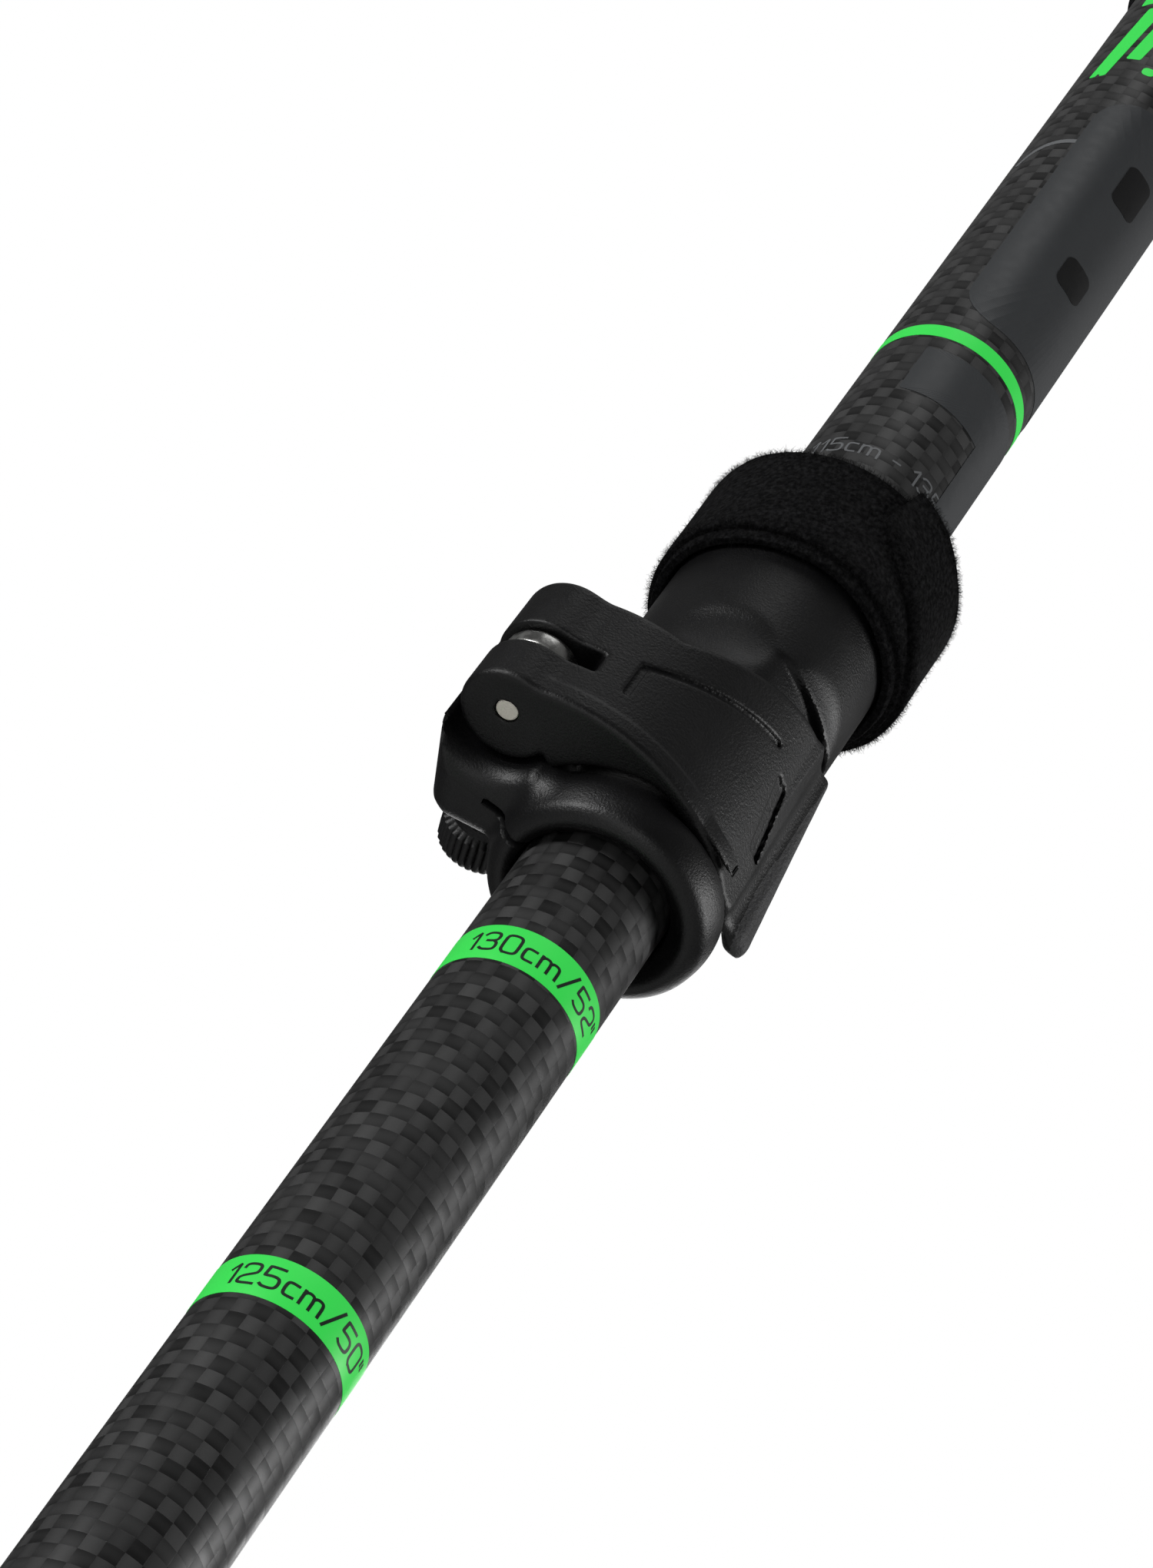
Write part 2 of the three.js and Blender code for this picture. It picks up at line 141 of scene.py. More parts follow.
# %% [markdown]
# ## Meshes from numbers
# Every new piece is a grid of points worked out at once with numpy. A turned part repeats its
# profile round an axis; a part that follows a path repeats its section along it; a moulded part
# with blended shapes is the skin of a distance field. One helper turns arrays into an object.


# %% From arrays to a piece
def piece(name, points, faces, material, body, slot=None, stands_for=(), uv=None, smooth=True, weld=True):
    """points is (n, 3) in millimetres and faces is (m, 3 or 4) indices. Doubles are merged so that
    poles close, and uv gives (n, 2) values that each face corner takes from its point."""
    mesh = bpy.data.meshes.new(name)
    mesh.from_pydata((np.asarray(points, float) * MM).tolist(), [], np.asarray(faces).tolist())
    if uv is not None:
        layer = mesh.uv_layers.new(name="weave")
        corner = np.empty(len(mesh.loops), dtype=np.int32)
        mesh.loops.foreach_get("vertex_index", corner)
        layer.data.foreach_set("uv", np.asarray(uv, np.float32)[corner].ravel())
    if weld:
        soup = bmesh.new()
        soup.from_mesh(mesh)
        bmesh.ops.remove_doubles(soup, verts=soup.verts, dist=2e-7)
        bmesh.ops.dissolve_degenerate(soup, edges=soup.edges, dist=1e-8)
        soup.to_mesh(mesh)
        soup.free()
    mesh.materials.append(material)
    if smooth:
        mesh.polygons.foreach_set("use_smooth", np.ones(len(mesh.polygons), bool))
        mesh.set_sharp_from_angle(angle=math.radians(35))
    made = bpy.data.objects.new(name, mesh)
    bpy.context.scene.collection.objects.link(made)
    if body:
        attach(made, body)
    if stands_for:
        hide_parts(*stands_for)
    return made


def grid_faces(rows, columns, round_rows=False, round_columns=False, first=0):
    """Quads of a grid with rows x columns points, closed on itself where asked."""
    i = np.arange(rows if round_rows else rows - 1)[:, None]
    j = np.arange(columns if round_columns else columns - 1)[None, :]
    i2, j2 = (i + 1) % rows, (j + 1) % columns
    quads = [i * columns + j, i * columns + j2, i2 * columns + j2, i2 * columns + j]
    return np.stack([q + 0 * i + 0 * j for q in quads], -1).reshape(-1, 4) + first


def rounded(corners, radius, steps=4):
    """A profile with each inner corner replaced by an arc: the arc runs between the points that lie
    radius (at most 0.45 of the shorter side) before and after the corner, as a quadratic curve."""
    p = np.asarray(corners, float)
    out = [p[:1]]
    t = np.linspace(0, 1, steps)[:, None]
    for before, corner, after in zip(p[:-2], p[1:-1], p[2:]):
        a, b = before - corner, after - corner
        reach = min(radius, 0.45 * np.linalg.norm(a), 0.45 * np.linalg.norm(b))
        a, b = corner + a / np.linalg.norm(a) * reach, corner + b / np.linalg.norm(b) * reach
        out.append((1 - t) ** 2 * a + 2 * t * (1 - t) * corner + t**2 * b)
    out.append(p[-1:])
    return np.concatenate(out)


def ring_grid(profile, segments, seam=False):
    """Points (r cos a, r sin a, z) for each (r, z) of a profile and each angle a. A seam repeats the
    first row at the end, so that a UV map can run round to its last whole number."""
    a = np.linspace(0, 2 * np.pi, segments + seam, endpoint=seam)
    r, z = np.asarray(profile, float).T
    return np.stack([np.outer(np.cos(a), r), np.outer(np.sin(a), r), np.outer(np.ones(len(a)), z)], -1)


def ring_faces(rows, columns, closed=True, round_rows=True):
    """Quads of a ring grid, facing outwards; closed joins the profile's end to its start."""
    return grid_faces(rows, columns, round_rows, closed)[:, [0, 3, 2, 1]]


def relief_grid(angles, radii, heights):
    """Points of a ring grid whose radius changes with the angle too: radii is (angles, heights)."""
    level = heights[None] + 0 * radii
    return np.stack([np.cos(angles)[:, None] * radii, np.sin(angles)[:, None] * radii, level], -1)


def ring_map(rows, profile, cells, per_mm):
    """UVs of a ring grid with a seam: cells round it, and per_mm of them along z."""
    z = np.asarray(profile, float)[:, 1]
    u = np.linspace(0, cells, rows)[:, None] + 0 * z
    return np.stack([u, z * per_mm + 0 * u], -1).reshape(-1, 2)


def turned(name, profile, material, body, segments=96, hollow=False, move=None, **more):
    """A turned part. profile runs from the low pole, outside, to the high pole; a hollow part's
    profile is a closed loop in the same sense. move is a function applied to all the points."""
    points = ring_grid(profile, segments).reshape(-1, 3)
    if move is not None:
        points = move(points)
    return piece(name, points, ring_faces(segments, len(profile), hollow), material, body, **more)

# %% [markdown]
# ## Finishes
# Real finishes are never one flat value. Each material below starts from its plain colour and
# gloss, then adds the grain, weave or brushing at its true scale with a bump. Small helpers keep the
# node code short: one adds a node and wires its inputs, another ends a chain in a bump.


# %% Material helpers
def colour(red, green, blue):
    """0..255 screen values as linear ones."""
    c = np.array([red, green, blue]) / 255
    c = np.where(c <= 0.04045, c / 12.92, ((c + 0.055) / 1.055) ** 2.4)
    return (*c.tolist(), 1.0)


def finish_called(name, base, rough, **more):
    """A Principled material; more sets its other sockets, with _ for a space."""
    made = bpy.data.materials.new(name)
    made.use_nodes = True
    sockets = made.node_tree.nodes["Principled BSDF"].inputs
    sockets["Base Color"].default_value = base
    sockets["Roughness"].default_value = rough
    for key, value in more.items():
        sockets[key.replace("_", " ")].default_value = value
    return made


def add(material, kind, inputs=(), **settings):
    """A new node; inputs are (socket name or number, value or another node's output) pairs."""
    made = material.node_tree.nodes.new("ShaderNode" + kind)
    for key, value in settings.items():
        setattr(made, key, value)
    for socket, value in inputs:
        if isinstance(value, bpy.types.NodeSocket):
            material.node_tree.links.new(value, made.inputs[socket])
        else:
            made.inputs[socket].default_value = value
    return made


def into(material, socket, value):
    """Wires an output into one of the shader's sockets."""
    material.node_tree.links.new(value, material.node_tree.nodes["Principled BSDF"].inputs[socket])


def bumped(material, height, distance, strength=1.0):
    """Height 0..1 becomes a relief of that distance in metres."""
    relief = add(material, "Bump", [("Height", height), ("Distance", distance), ("Strength", strength)])
    into(material, "Normal", relief.outputs["Normal"])


def place(material):
    """Object coordinates, in metres."""
    return add(material, "TexCoord").outputs["Object"]


def noise(material, scale, detail=2.0, roughness=0.5, where=None):
    """Noise on Object coordinates, so its scale is in waves per metre."""
    inputs = [("Vector", where or place(material)), ("Scale", scale), ("Detail", detail),
              ("Roughness", roughness)]
    return add(material, "TexNoise", inputs).outputs["Fac"]


def between(material, value, low, high, a=0.0, b=1.0):
    """Maps a value from low..high to a..b and stops at the ends."""
    inputs = [("Value", value), ("From Min", low), ("From Max", high), ("To Min", a), ("To Max", b)]
    return add(material, "MapRange", inputs).outputs["Result"]


def sum_up(material, kind, first, second=0.5, third=0.0):
    """One Math node; the second and third values are ignored where the kind takes fewer."""
    return add(material, "Math", [(0, first), (1, second), (2, third)], operation=kind).outputs[0]


def half_waves(material, value):
    """|sin(pi value)|: one rounded crown for each whole number."""
    phase = sum_up(material, "MULTIPLY", value, math.pi)
    return sum_up(material, "ABSOLUTE", sum_up(material, "SINE", phase))


def tinted(material, share, dark, light):
    """The base colour runs from dark to light with share."""
    mix = add(material, "Mix", [("Factor", share)], data_type="RGBA")
    mix.inputs[6].default_value = dark
    mix.inputs[7].default_value = light
    into(material, "Base Color", mix.outputs[2])


# %% Moulded plastics, rubber and foam
def moulded(name, shade, rough, grain=3800.0, depth=0.00004, spec=0.42):
    """Glass-filled nylon from an etched mould: a fine leathery grain and slight changes of gloss."""
    made = finish_called(name, colour(shade, shade, shade + 1), rough, Specular_IOR_Level=spec)
    coarse = noise(made, grain, 3.0, 0.6)
    bumped(made, between(made, coarse, 0.3, 0.7), depth, 0.55)
    gloss = noise(made, 160.0, 2.0)
    into(made, "Roughness", between(made, gloss, 0.3, 0.7, rough - 0.05, rough + 0.06))
    return made


nylon = moulded("moulded_nylon", 11, 0.42)
lever_nylon = moulded("lever_nylon", 8, 0.42, 3300.0, 0.00005)
coarse_nylon = moulded("coarse_lip_nylon", 62, 0.6, 2400.0, 0.00012)
smooth_nylon = moulded("smooth_nylon", 14, 0.33, 5200.0, 0.00002)
rubber = moulded("grip_rubber", 22, 0.62, 1800.0, 0.00006, 0.35)
foam = finish_called("closed_cell_foam", colour(27, 27, 28), 0.95, Specular_IOR_Level=0.2)
cells = add(foam, "TexVoronoi", [("Vector", place(foam)), ("Scale", 1500.0)])
bumped(foam, between(foam, cells.outputs["Distance"], 0.0, 0.7), 0.00025, 0.6)
tinted(foam, between(foam, noise(foam, 900.0), 0.3, 0.7), colour(20, 20, 21), colour(36, 36, 37))

# %% Metals and carbide
steel = finish_called("bright_steel", colour(205, 205, 202), 0.22, Metallic=1.0)
into(steel, "Roughness", between(steel, noise(steel, 900.0, 3.0), 0.3, 0.7, 0.16, 0.38))
bumped(steel, noise(steel, 1400.0), 0.00003, 0.4)
# The pin is a pale, non-metal colour: a painted highlight, so that its end shows as a bright dot.
pin_painted_highlight = finish_called("pin_end_painted_highlight", colour(244, 238, 226), 0.5, Metallic=0.0)
bumped(pin_painted_highlight, noise(pin_painted_highlight, 2500.0, 4.0), 0.00008, 0.6)
brass = finish_called("brass", colour(190, 150, 80), 0.35, Metallic=1.0)
aluminium = finish_called("raw_aluminium", colour(160, 163, 168), 0.38, Metallic=1.0)
into(aluminium, "Roughness", between(aluminium, noise(aluminium, 700.0), 0.3, 0.7, 0.3, 0.48))
anodised = finish_called("dark_anodised_aluminium", colour(58, 60, 63), 0.36, Metallic=0.9)
turning = add(anodised, "Mapping", [("Vector", place(anodised)), ("Scale", (1, 1, 40))])
lathe_lines = noise(anodised, 220.0, 3.0, 0.6, turning.outputs[0])
bumped(anodised, lathe_lines, 0.00002, 0.5)
into(anodised, "Roughness", between(anodised, lathe_lines, 0.3, 0.7, 0.3, 0.44))
carbide = finish_called("sintered_carbide", colour(92, 94, 98), 0.4, Metallic=1.0)
bumped(carbide, noise(carbide, 3000.0, 3.0), 0.00003, 0.6)

# %% Fabrics
webbing = finish_called("woven_webbing", colour(26, 26, 28), 0.85, Sheen_Weight=0.4, Sheen_Roughness=0.5)
ribs = add(webbing, "TexCoord").outputs["UV"]
warp = add(webbing, "SeparateXYZ", [(0, ribs)])
across = half_waves(webbing, warp.outputs[0])
along = half_waves(webbing, warp.outputs[1])
weave_height = sum_up(webbing, "MULTIPLY", across, along)
bumped(webbing, weave_height, 0.00035, 0.8)
# The colour follows the weave's height: painted shade in the hollows, painted sheen on the crowns.
tinted(webbing, weave_height, colour(12, 12, 13), colour(40, 40, 42))
loop_fabric = finish_called("loop_fabric", colour(14, 14, 15), 0.98, Specular_IOR_Level=0.12)
loops = add(loop_fabric, "TexVoronoi", [("Vector", place(loop_fabric)), ("Scale", 2200.0)],
            feature="SMOOTH_F1")
tangle = sum_up(loop_fabric, "ADD", loops.outputs["Distance"], noise(loop_fabric, 2600.0, 4.0, 0.7))
bumped(loop_fabric, between(loop_fabric, tangle, 0.4, 1.3), 0.0004, 0.9)
tinted(loop_fabric, between(loop_fabric, noise(loop_fabric, 1900.0, 3.0), 0.4, 0.7), colour(9, 9, 10),
       colour(36, 36, 37))
cord_braid = finish_called("braided_cord", colour(40, 160, 66), 0.75)
strands = add(cord_braid, "TexCoord").outputs["UV"]
braid = add(cord_braid, "TexWave", [("Vector", strands), ("Scale", 1.0), ("Distortion", 0.0)],
            bands_direction="DIAGONAL")
bumped(cord_braid, braid.outputs["Fac"], 0.0003, 0.7)

# %% [markdown]
# ## Carbon weave
# The tubes show a plain weave under satin lacquer: square tows that pass over and under each other.
# A picture of cloth could be wrapped on, but then close views go soft. Here each tube carries a
# UV map counted in tows, so whole numbers of cells meet at the seam, and the shader draws one cell:
# a checker says which tow is on top, and half a sine wave gives its crown.


# %% Carbon finish
def carbon_finish(name, dark, light, rough):
    """Plain weave from a UV map in tows: the floor of u + v, folded to 0 or 1, says which tow is on
    top; |sin(pi u)| and |sin(pi v)| are the crowns; white noise per cell varies shade and gloss."""
    made = finish_called(name, colour(dark, dark, dark), rough, Specular_IOR_Level=0.42, Coat_Weight=0.10,
                         Coat_Roughness=0.30)
    tows = add(made, "TexCoord").outputs["UV"]
    wobble = noise(made, 55.0, 2.0)
    part = add(made, "SeparateXYZ", [(0, tows)])
    sway = between(made, wobble, 0.2, 0.8, -0.22, 0.22)
    u = sum_up(made, "ADD", part.outputs[0], sway)
    v = sum_up(made, "ADD", part.outputs[1], sway)
    crown_u = half_waves(made, u)
    crown_v = half_waves(made, v)
    pair = sum_up(made, "ADD", sum_up(made, "FLOOR", u), sum_up(made, "FLOOR", v))
    on_top = sum_up(made, "PINGPONG", pair, 1.0)
    cell = add(made, "CombineXYZ", [(0, sum_up(made, "FLOOR", u)), (1, sum_up(made, "FLOOR", v))])
    lot = add(made, "TexWhiteNoise", [("Vector", cell.outputs[0])], noise_dimensions="2D").outputs["Value"]
    wide = add(made, "Mix", [("Factor", on_top), (2, crown_u), (3, crown_v)], data_type="FLOAT").outputs[0]
    long = add(made, "Mix", [("Factor", on_top), (2, crown_v), (3, crown_u)], data_type="FLOAT").outputs[0]
    height = sum_up(made, "MULTIPLY_ADD", sum_up(made, "POWER", wide, 0.25), 0.35, long)
    bumped(made, sum_up(made, "MULTIPLY_ADD", lot, 0.5, height), 0.00006, 0.55)
    # The tow on top is painted lighter, and each tow lighter along its crown: painted reflection and shade of
    # the satin weave. The white noise per cell is the weave's own random tone.
    lit = sum_up(made, "MULTIPLY_ADD", on_top, 0.55, sum_up(made, "MULTIPLY", lot, 0.55))
    shade = between(made, sum_up(made, "MULTIPLY_ADD", long, 0.35, lit), 0.25, 1.4)
    tinted(made, shade, colour(dark, dark, dark), colour(light, light, light))
    streaks = sum_up(made, "MULTIPLY_ADD", lot, 0.10, rough - 0.03)
    into(made, "Roughness", streaks)
    return made


carbon = carbon_finish("carbon_weave", 20, 68, 0.40)


def inked(name, red, green, blue, rough=0.42):
    """Screen-printed ink: an even colour with the faintest change of gloss."""
    made = finish_called(name, colour(red, green, blue), rough, Specular_IOR_Level=0.4)
    into(made, "Roughness", between(made, noise(made, 700.0, 3.0), 0.3, 0.7, rough - 0.04, rough + 0.05))
    bumped(made, noise(made, 1500.0, 2.0), 0.00001, 0.3)
    return made


green_ink_painted_glow = inked("green_ink_painted_glow", 58, 200, 80)
painted_glow_shader = green_ink_painted_glow.node_tree.nodes["Principled BSDF"]
# The green ink glows a little: painted light that keeps it bright and even under dim lamps.
painted_glow_shader.inputs["Emission Color"].default_value = colour(50, 225, 80)
painted_glow_shader.inputs["Emission Strength"].default_value = 0.42
dark_ink = inked("dark_ink", 30, 42, 34)
grey_ink = inked("grey_ink", 62, 64, 66)
pale_ink = inked("pale_grey_ink", 112, 114, 116)
gap_ink = inked("near_black_ink", 14, 14, 15)

# %% Tubes
WEAVE = 1.79


def shaft(name, outer, inner, low, high, cells, body, node):
    """A tube wall as one closed profile with broken edges; the weave map counts its tows: cells
    round the tube, and one tow for each 1.79 mm of height."""
    edge = 0.25
    profile = np.array([(inner, low), (outer - edge, low), (outer, low + edge), (outer, high - edge),
                        (outer - edge, high), (inner, high)])
    p = ring_grid(profile, 160, seam=True)
    faces = ring_faces(len(p), len(profile), round_rows=False)
    uv = ring_map(len(p), profile, cells, 1 / WEAVE)
    return piece(name, p.reshape(-1, 3), faces, carbon, body, "carbon", [node], uv)


def span(node):
    """A node's lowest and highest z in millimetres."""
    low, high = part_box(node)
    return low.z / MM, high.z / MM


R_UPPER, R_MIDDLE, R_SECOND, R_THIRD = 9.1, 7.99, 7.0, 6.5
shaft("upper_tube", R_UPPER, 8.4, *span("upper_shaft"), 32, "upper", "upper_shaft")
shaft("middle_tube", R_MIDDLE, 7.2, *span("middle_shaft"), 28, "middle", "middle_shaft")
shaft("second_tube", R_SECOND, 6.3, *span("second_shaft"), 24, "second", "second_shaft")
shaft("third_tube", R_THIRD, 5.8, *span("third_shaft"), 22, "third", "third_shaft")
print("four carbon tubes")

# %% [markdown]
# ## Bands and printed marks
# Lengths are read where the clamp's mouth meets a green band. A print is a layer of ink a few
# hundredths of a millimetre thick, so each mark is a thin shell that hugs the tube. Flat shapes are
# drawn as (distance round the tube, height), and one function bends them round the axis.


# %% Wrapping flat shapes on a tube
def wrapped(flat, lift, radius):
    """Flat (s, z) with its lift off the surface: the angle is s / radius, counted from the front."""
    a = flat[..., 0] / radius - np.pi / 2
    r = radius + lift
    return np.stack([r * np.cos(a), r * np.sin(a), flat[..., 1] + 0 * lift], -1)


def ink_patch(outline, radius, thick=0.03):
    """A filled shape: rings that shrink to the middle of the outline, with a skirt into the tube."""
    line = np.asarray(outline, float)
    middle = (line.min(0) + line.max(0)) / 2
    rings = int(np.ptp(line, axis=0).max() / 0.5) + 8
    share = np.concatenate([[1.0, 1.0], np.linspace(0.98, 0.0, rings)])
    flat = middle + share[:, None, None] * (line - middle)[None]
    lift = np.full(len(share), thick)
    lift[0] = -0.06
    points = wrapped(flat, lift[:, None] * np.ones(len(line)), radius)
    return points.reshape(-1, 3), grid_faces(len(share), len(line), round_columns=True)


def ink_stroke(path, width, radius, thick=0.02):
    """A pen line: corners are cut twice so that they round off, the path is divided into short steps,
    and a four-sided section is carried along it."""
    p = np.asarray(path, float)
    for _ in range(2 if len(p) > 3 else 0):
        cut = np.stack([0.75 * p[:-1] + 0.25 * p[1:], 0.25 * p[:-1] + 0.75 * p[1:]], 1).reshape(-1, 2)
        p = np.concatenate([p[:1], cut, p[-1:]])
    lengths = np.concatenate([[0], np.cumsum(np.linalg.norm(np.diff(p, axis=0), axis=1))])
    stops = np.union1d(np.arange(0, lengths[-1], 0.35), lengths)
    q = np.stack([np.interp(stops, lengths, p[:, k]) for k in (0, 1)], 1)
    ahead_2d = np.gradient(q, axis=0)
    ahead_2d /= np.linalg.norm(ahead_2d, axis=1)[:, None] + 1e-12
    side = np.stack([-ahead_2d[:, 1], ahead_2d[:, 0]], 1)
    q[0] -= ahead_2d[0] * width * 0.4
    q[-1] += ahead_2d[-1] * width * 0.4
    offset = np.array([-0.5, -0.5, 0.5, 0.5]) * width
    lift = np.array([-0.04, thick, thick, -0.04])
    flat = q[:, None] + side[:, None] * offset[None, :, None]
    points = wrapped(flat, np.ones(len(q))[:, None] * lift, radius)
    return points.reshape(-1, 3), ring_faces(len(q), 4, round_rows=False)


def joined(parts):
    """Several (points, faces) as one, with the face numbers moved on."""
    firsts = np.cumsum([0] + [len(p) for p, _ in parts[:-1]])
    return np.concatenate([p for p, _ in parts]), np.concatenate([f + n for (_, f), n in zip(parts, firsts)])


# %% Pen letters
# Each sign is a few pen lines in a box as wide as the first number and one unit high.
PEN = {
    "0": (0.62, [[(0.14, 0), (0.48, 0), (0.6, 0.1), (0.62, 0.3), (0.62, 0.7), (0.6, 0.9), (0.48, 1),
                  (0.14, 1), (0.02, 0.9), (0, 0.7), (0, 0.3), (0.02, 0.1), (0.14, 0)]]),
    "1": (0.26, [[(0, 0.72), (0.26, 1), (0.26, 0)]]),
    "2": (0.62, [[(0, 0.8), (0.02, 0.93), (0.14, 1), (0.5, 1), (0.62, 0.9), (0.62, 0.64), (0.54, 0.52),
                  (0.1, 0.36), (0, 0.24), (0, 0), (0.64, 0)]]),
    "3": (0.62, [[(0, 0.86), (0.14, 1), (0.48, 1), (0.6, 0.9), (0.6, 0.64), (0.46, 0.53), (0.18, 0.53)],
                 [(0.46, 0.53), (0.62, 0.42), (0.62, 0.1), (0.48, 0), (0.12, 0), (0, 0.12)]]),
    "4": (0.66, [[(0.5, 0), (0.5, 1), (0, 0.3), (0.66, 0.3)]]),
    "5": (0.62, [[(0.6, 1), (0.04, 1), (0.04, 1), (0, 0.55), (0, 0.55), (0.46, 0.58), (0.62, 0.46),
                  (0.62, 0.12), (0.48, 0), (0.12, 0), (0, 0.1)]]),
    "6": (0.62, [[(0.58, 0.9), (0.46, 1), (0.14, 1), (0, 0.86), (0, 0.12), (0.14, 0), (0.48, 0), (0.62, 0.12),
                  (0.62, 0.44), (0.48, 0.56), (0, 0.54)]]),
    "8": (0.62, [[(0.16, 0.53), (0.02, 0.66), (0.02, 0.88), (0.14, 1), (0.48, 1), (0.6, 0.88), (0.6, 0.66),
                  (0.46, 0.53), (0.16, 0.53), (0, 0.4), (0, 0.12), (0.14, 0), (0.48, 0), (0.62, 0.12),
                  (0.62, 0.4), (0.46, 0.53)]]),
    "c": (0.42, [[(0.42, 0.62), (0.1, 0.64), (0, 0.54), (0, 0.1), (0.1, 0), (0.42, 0.02)]]),
    "m": (0.80, [[(0, 0), (0, 0.64)], [(0, 0.5), (0.1, 0.63), (0.3, 0.64), (0.4, 0.54), (0.4, 0)],
                 [(0.4, 0.52), (0.5, 0.63), (0.7, 0.64), (0.8, 0.54), (0.8, 0)]]),
    "/": (0.56, [[(0, -0.08), (0.56, 1.08)]]),
    "\"": (0.2, [[(0, 1), (0, 0.74)], [(0.2, 1), (0.2, 0.74)]]),
    "-": (0.34, [[(0, 0.42), (0.34, 0.42)]]),
    " ": (0.2, []),
}


def written(text, start, low, height, width, radius, gap=0.26, pen=PEN):
    """Pen lines of a text from arc length start, each sign gap units after the one before."""
    strokes = []
    s = start
    for sign in text:
        advance, lines = pen[sign]
        strokes += [ink_stroke(np.array(line) * height + (s, low), width, radius) for line in lines]
        s += (advance + gap) * height
    return joined(strokes)


# %% Green bands with their lengths
BAND_WIDTH = 5.25
FIRST_BAND = 940.05
bands = []
labels = []
for step, words in enumerate(("135cm/54\"", "130cm/52\"", "125cm/50\"", "120cm/48\"", "115cm/46\"")):
    high = FIRST_BAND - 50 * step
    low = high - BAND_WIDTH
    loop = np.array([(R_MIDDLE - 0.1, low), (R_MIDDLE + 0.03, low), (R_MIDDLE + 0.04, low + 0.05),
                     (R_MIDDLE + 0.04, high - 0.05), (R_MIDDLE + 0.03, high), (R_MIDDLE - 0.1, high)])
    p = ring_grid(loop, 160)
    bands.append((p.reshape(-1, 3), ring_faces(160, len(loop))))
    labels.append(written(words, -8.1, low + 1.35, 2.6, 0.33, R_MIDDLE + 0.04))
band_points, band_faces = joined(bands)
piece("length_bands", band_points, band_faces, green_ink_painted_glow, "middle")
label_points, label_faces = joined(labels)
piece("length_figures", label_points, label_faces, dark_ink, "middle", smooth=False)
print("bands", len(bands), "points in the figures", len(label_points))


# %% Marks on the upper tube
def rounded_box(s0, s1, z0, z1, corner, slant=0.0):
    """The outline of a box with round corners, anticlockwise, its sides leaning by slant per unit."""
    a = np.linspace(0, np.pi / 2, 7)
    turns = [(s1 - corner, z0 + corner, -np.pi / 2), (s1 - corner, z1 - corner, 0),
             (s0 + corner, z1 - corner, np.pi / 2), (s0 + corner, z0 + corner, np.pi)]
    p = np.concatenate([[(cs, cz)] + corner * np.stack([np.cos(a + t), np.sin(a + t)], 1)
                        for cs, cz, t in turns])
    after = np.roll(p, -1, axis=0)
    counts = np.maximum(1, (np.linalg.norm(after - p, axis=1) / 0.8).astype(int))
    p = np.concatenate([np.linspace(b, e, n, endpoint=False) for b, e, n in zip(p, after, counts)])
    p[:, 0] += slant * (p[:, 1] - z0)
    return p


ROW = 880
tube_marks = {
    "green_marks": (green_ink_painted_glow, [
        ink_patch(rounded_box(-9.6, -7.4, ROW + 180, ROW + 197, 0.3, 0.10), R_UPPER),
        ink_patch(rounded_box(-6.2, -4.4, ROW + 184, ROW + 197, 0.3, 0.10), R_UPPER),
        ink_patch(rounded_box(-9.6, -2.6, ROW + 198.4, ROW + 201, 0.3), R_UPPER),
        ink_patch(rounded_box(-3.4, -1.9, ROW + 181.2, ROW + 182.8, 0.6), R_UPPER),
    ]),
    "grey_marks": (grey_ink, [
        ink_patch(rounded_box(-5, 24, ROW + 125, ROW + 175, 5.5), R_UPPER, 0.07),
        ink_patch(rounded_box(-5, 16, ROW + 108.4, ROW + 117, 0.4), R_UPPER, 0.07),
        ink_patch(rounded_box(6.2, 16, ROW + 94, ROW + 112, 0.4), R_UPPER, 0.07),
    ]),
    "pale_line": (pale_ink, [
        written("115cm - 135cm", -10.6, ROW + 95.1, 2.5, 0.27, R_UPPER + 0.01, 0.24),
        ink_stroke([(-11.5, ROW + 160.4), (-10.3, ROW + 161.9), (-8.6, ROW + 163.0), (-6.8, ROW + 163.6),
                    (-5.2, ROW + 163.8)], 0.8, R_UPPER, 0.04),
    ]),
    "dark_windows": (gap_ink, [
        ink_patch(rounded_box(2.2, 6.7, ROW + 138.7, ROW + 144.2, 1.2), R_UPPER + 0.08, 0.03),
        ink_patch(rounded_box(2.1, 6.3, ROW + 157, ROW + 165, 1.2), R_UPPER + 0.08, 0.03),
    ]),
}
for name, (ink, parts) in tube_marks.items():
    mark_points, mark_faces = joined(parts)
    piece(name, mark_points, mark_faces, ink, "upper", smooth=False)
ring = np.array([(R_UPPER - 0.1, ROW + 119.4), (R_UPPER + 0.03, ROW + 119.4), (R_UPPER + 0.035, ROW + 119.5),
                 (R_UPPER + 0.035, ROW + 121.5), (R_UPPER + 0.03, ROW + 121.6), (R_UPPER - 0.1, ROW + 121.6)])
turned("green_ring", ring, green_ink_painted_glow, "upper", 160, hollow=True)
print("marks on the upper tube", len(tube_marks) + 1)

# %% [markdown]
# ## Lever clamp
# The clamp is moulded nylon: a collar split between two ears, which a lever with a cam pulls
# together. Its shapes flow into each other, so a turned profile can't make it, and Booleans leave
# hard seams. It is easier to say how far any point is from each simple shape, and to blend those
# distances: a smooth maximum carves, a smooth minimum joins. The skin is where the blend is zero.


# %% Distance helpers
def smooth_max(a, b, k):
    """The larger of two distances, with a fillet about k wide where they meet."""
    return np.maximum(a, b) + np.maximum(k - np.abs(a - b), 0) ** 2 / (4 * k)


def smooth_min(a, b, k):
    """The smaller of two distances, filleted in the same way."""
    return -smooth_max(-a, -b, k)


def slab(v, low, high):
    """Distance to the layer between low and high."""
    return np.maximum(low - v, v - high)


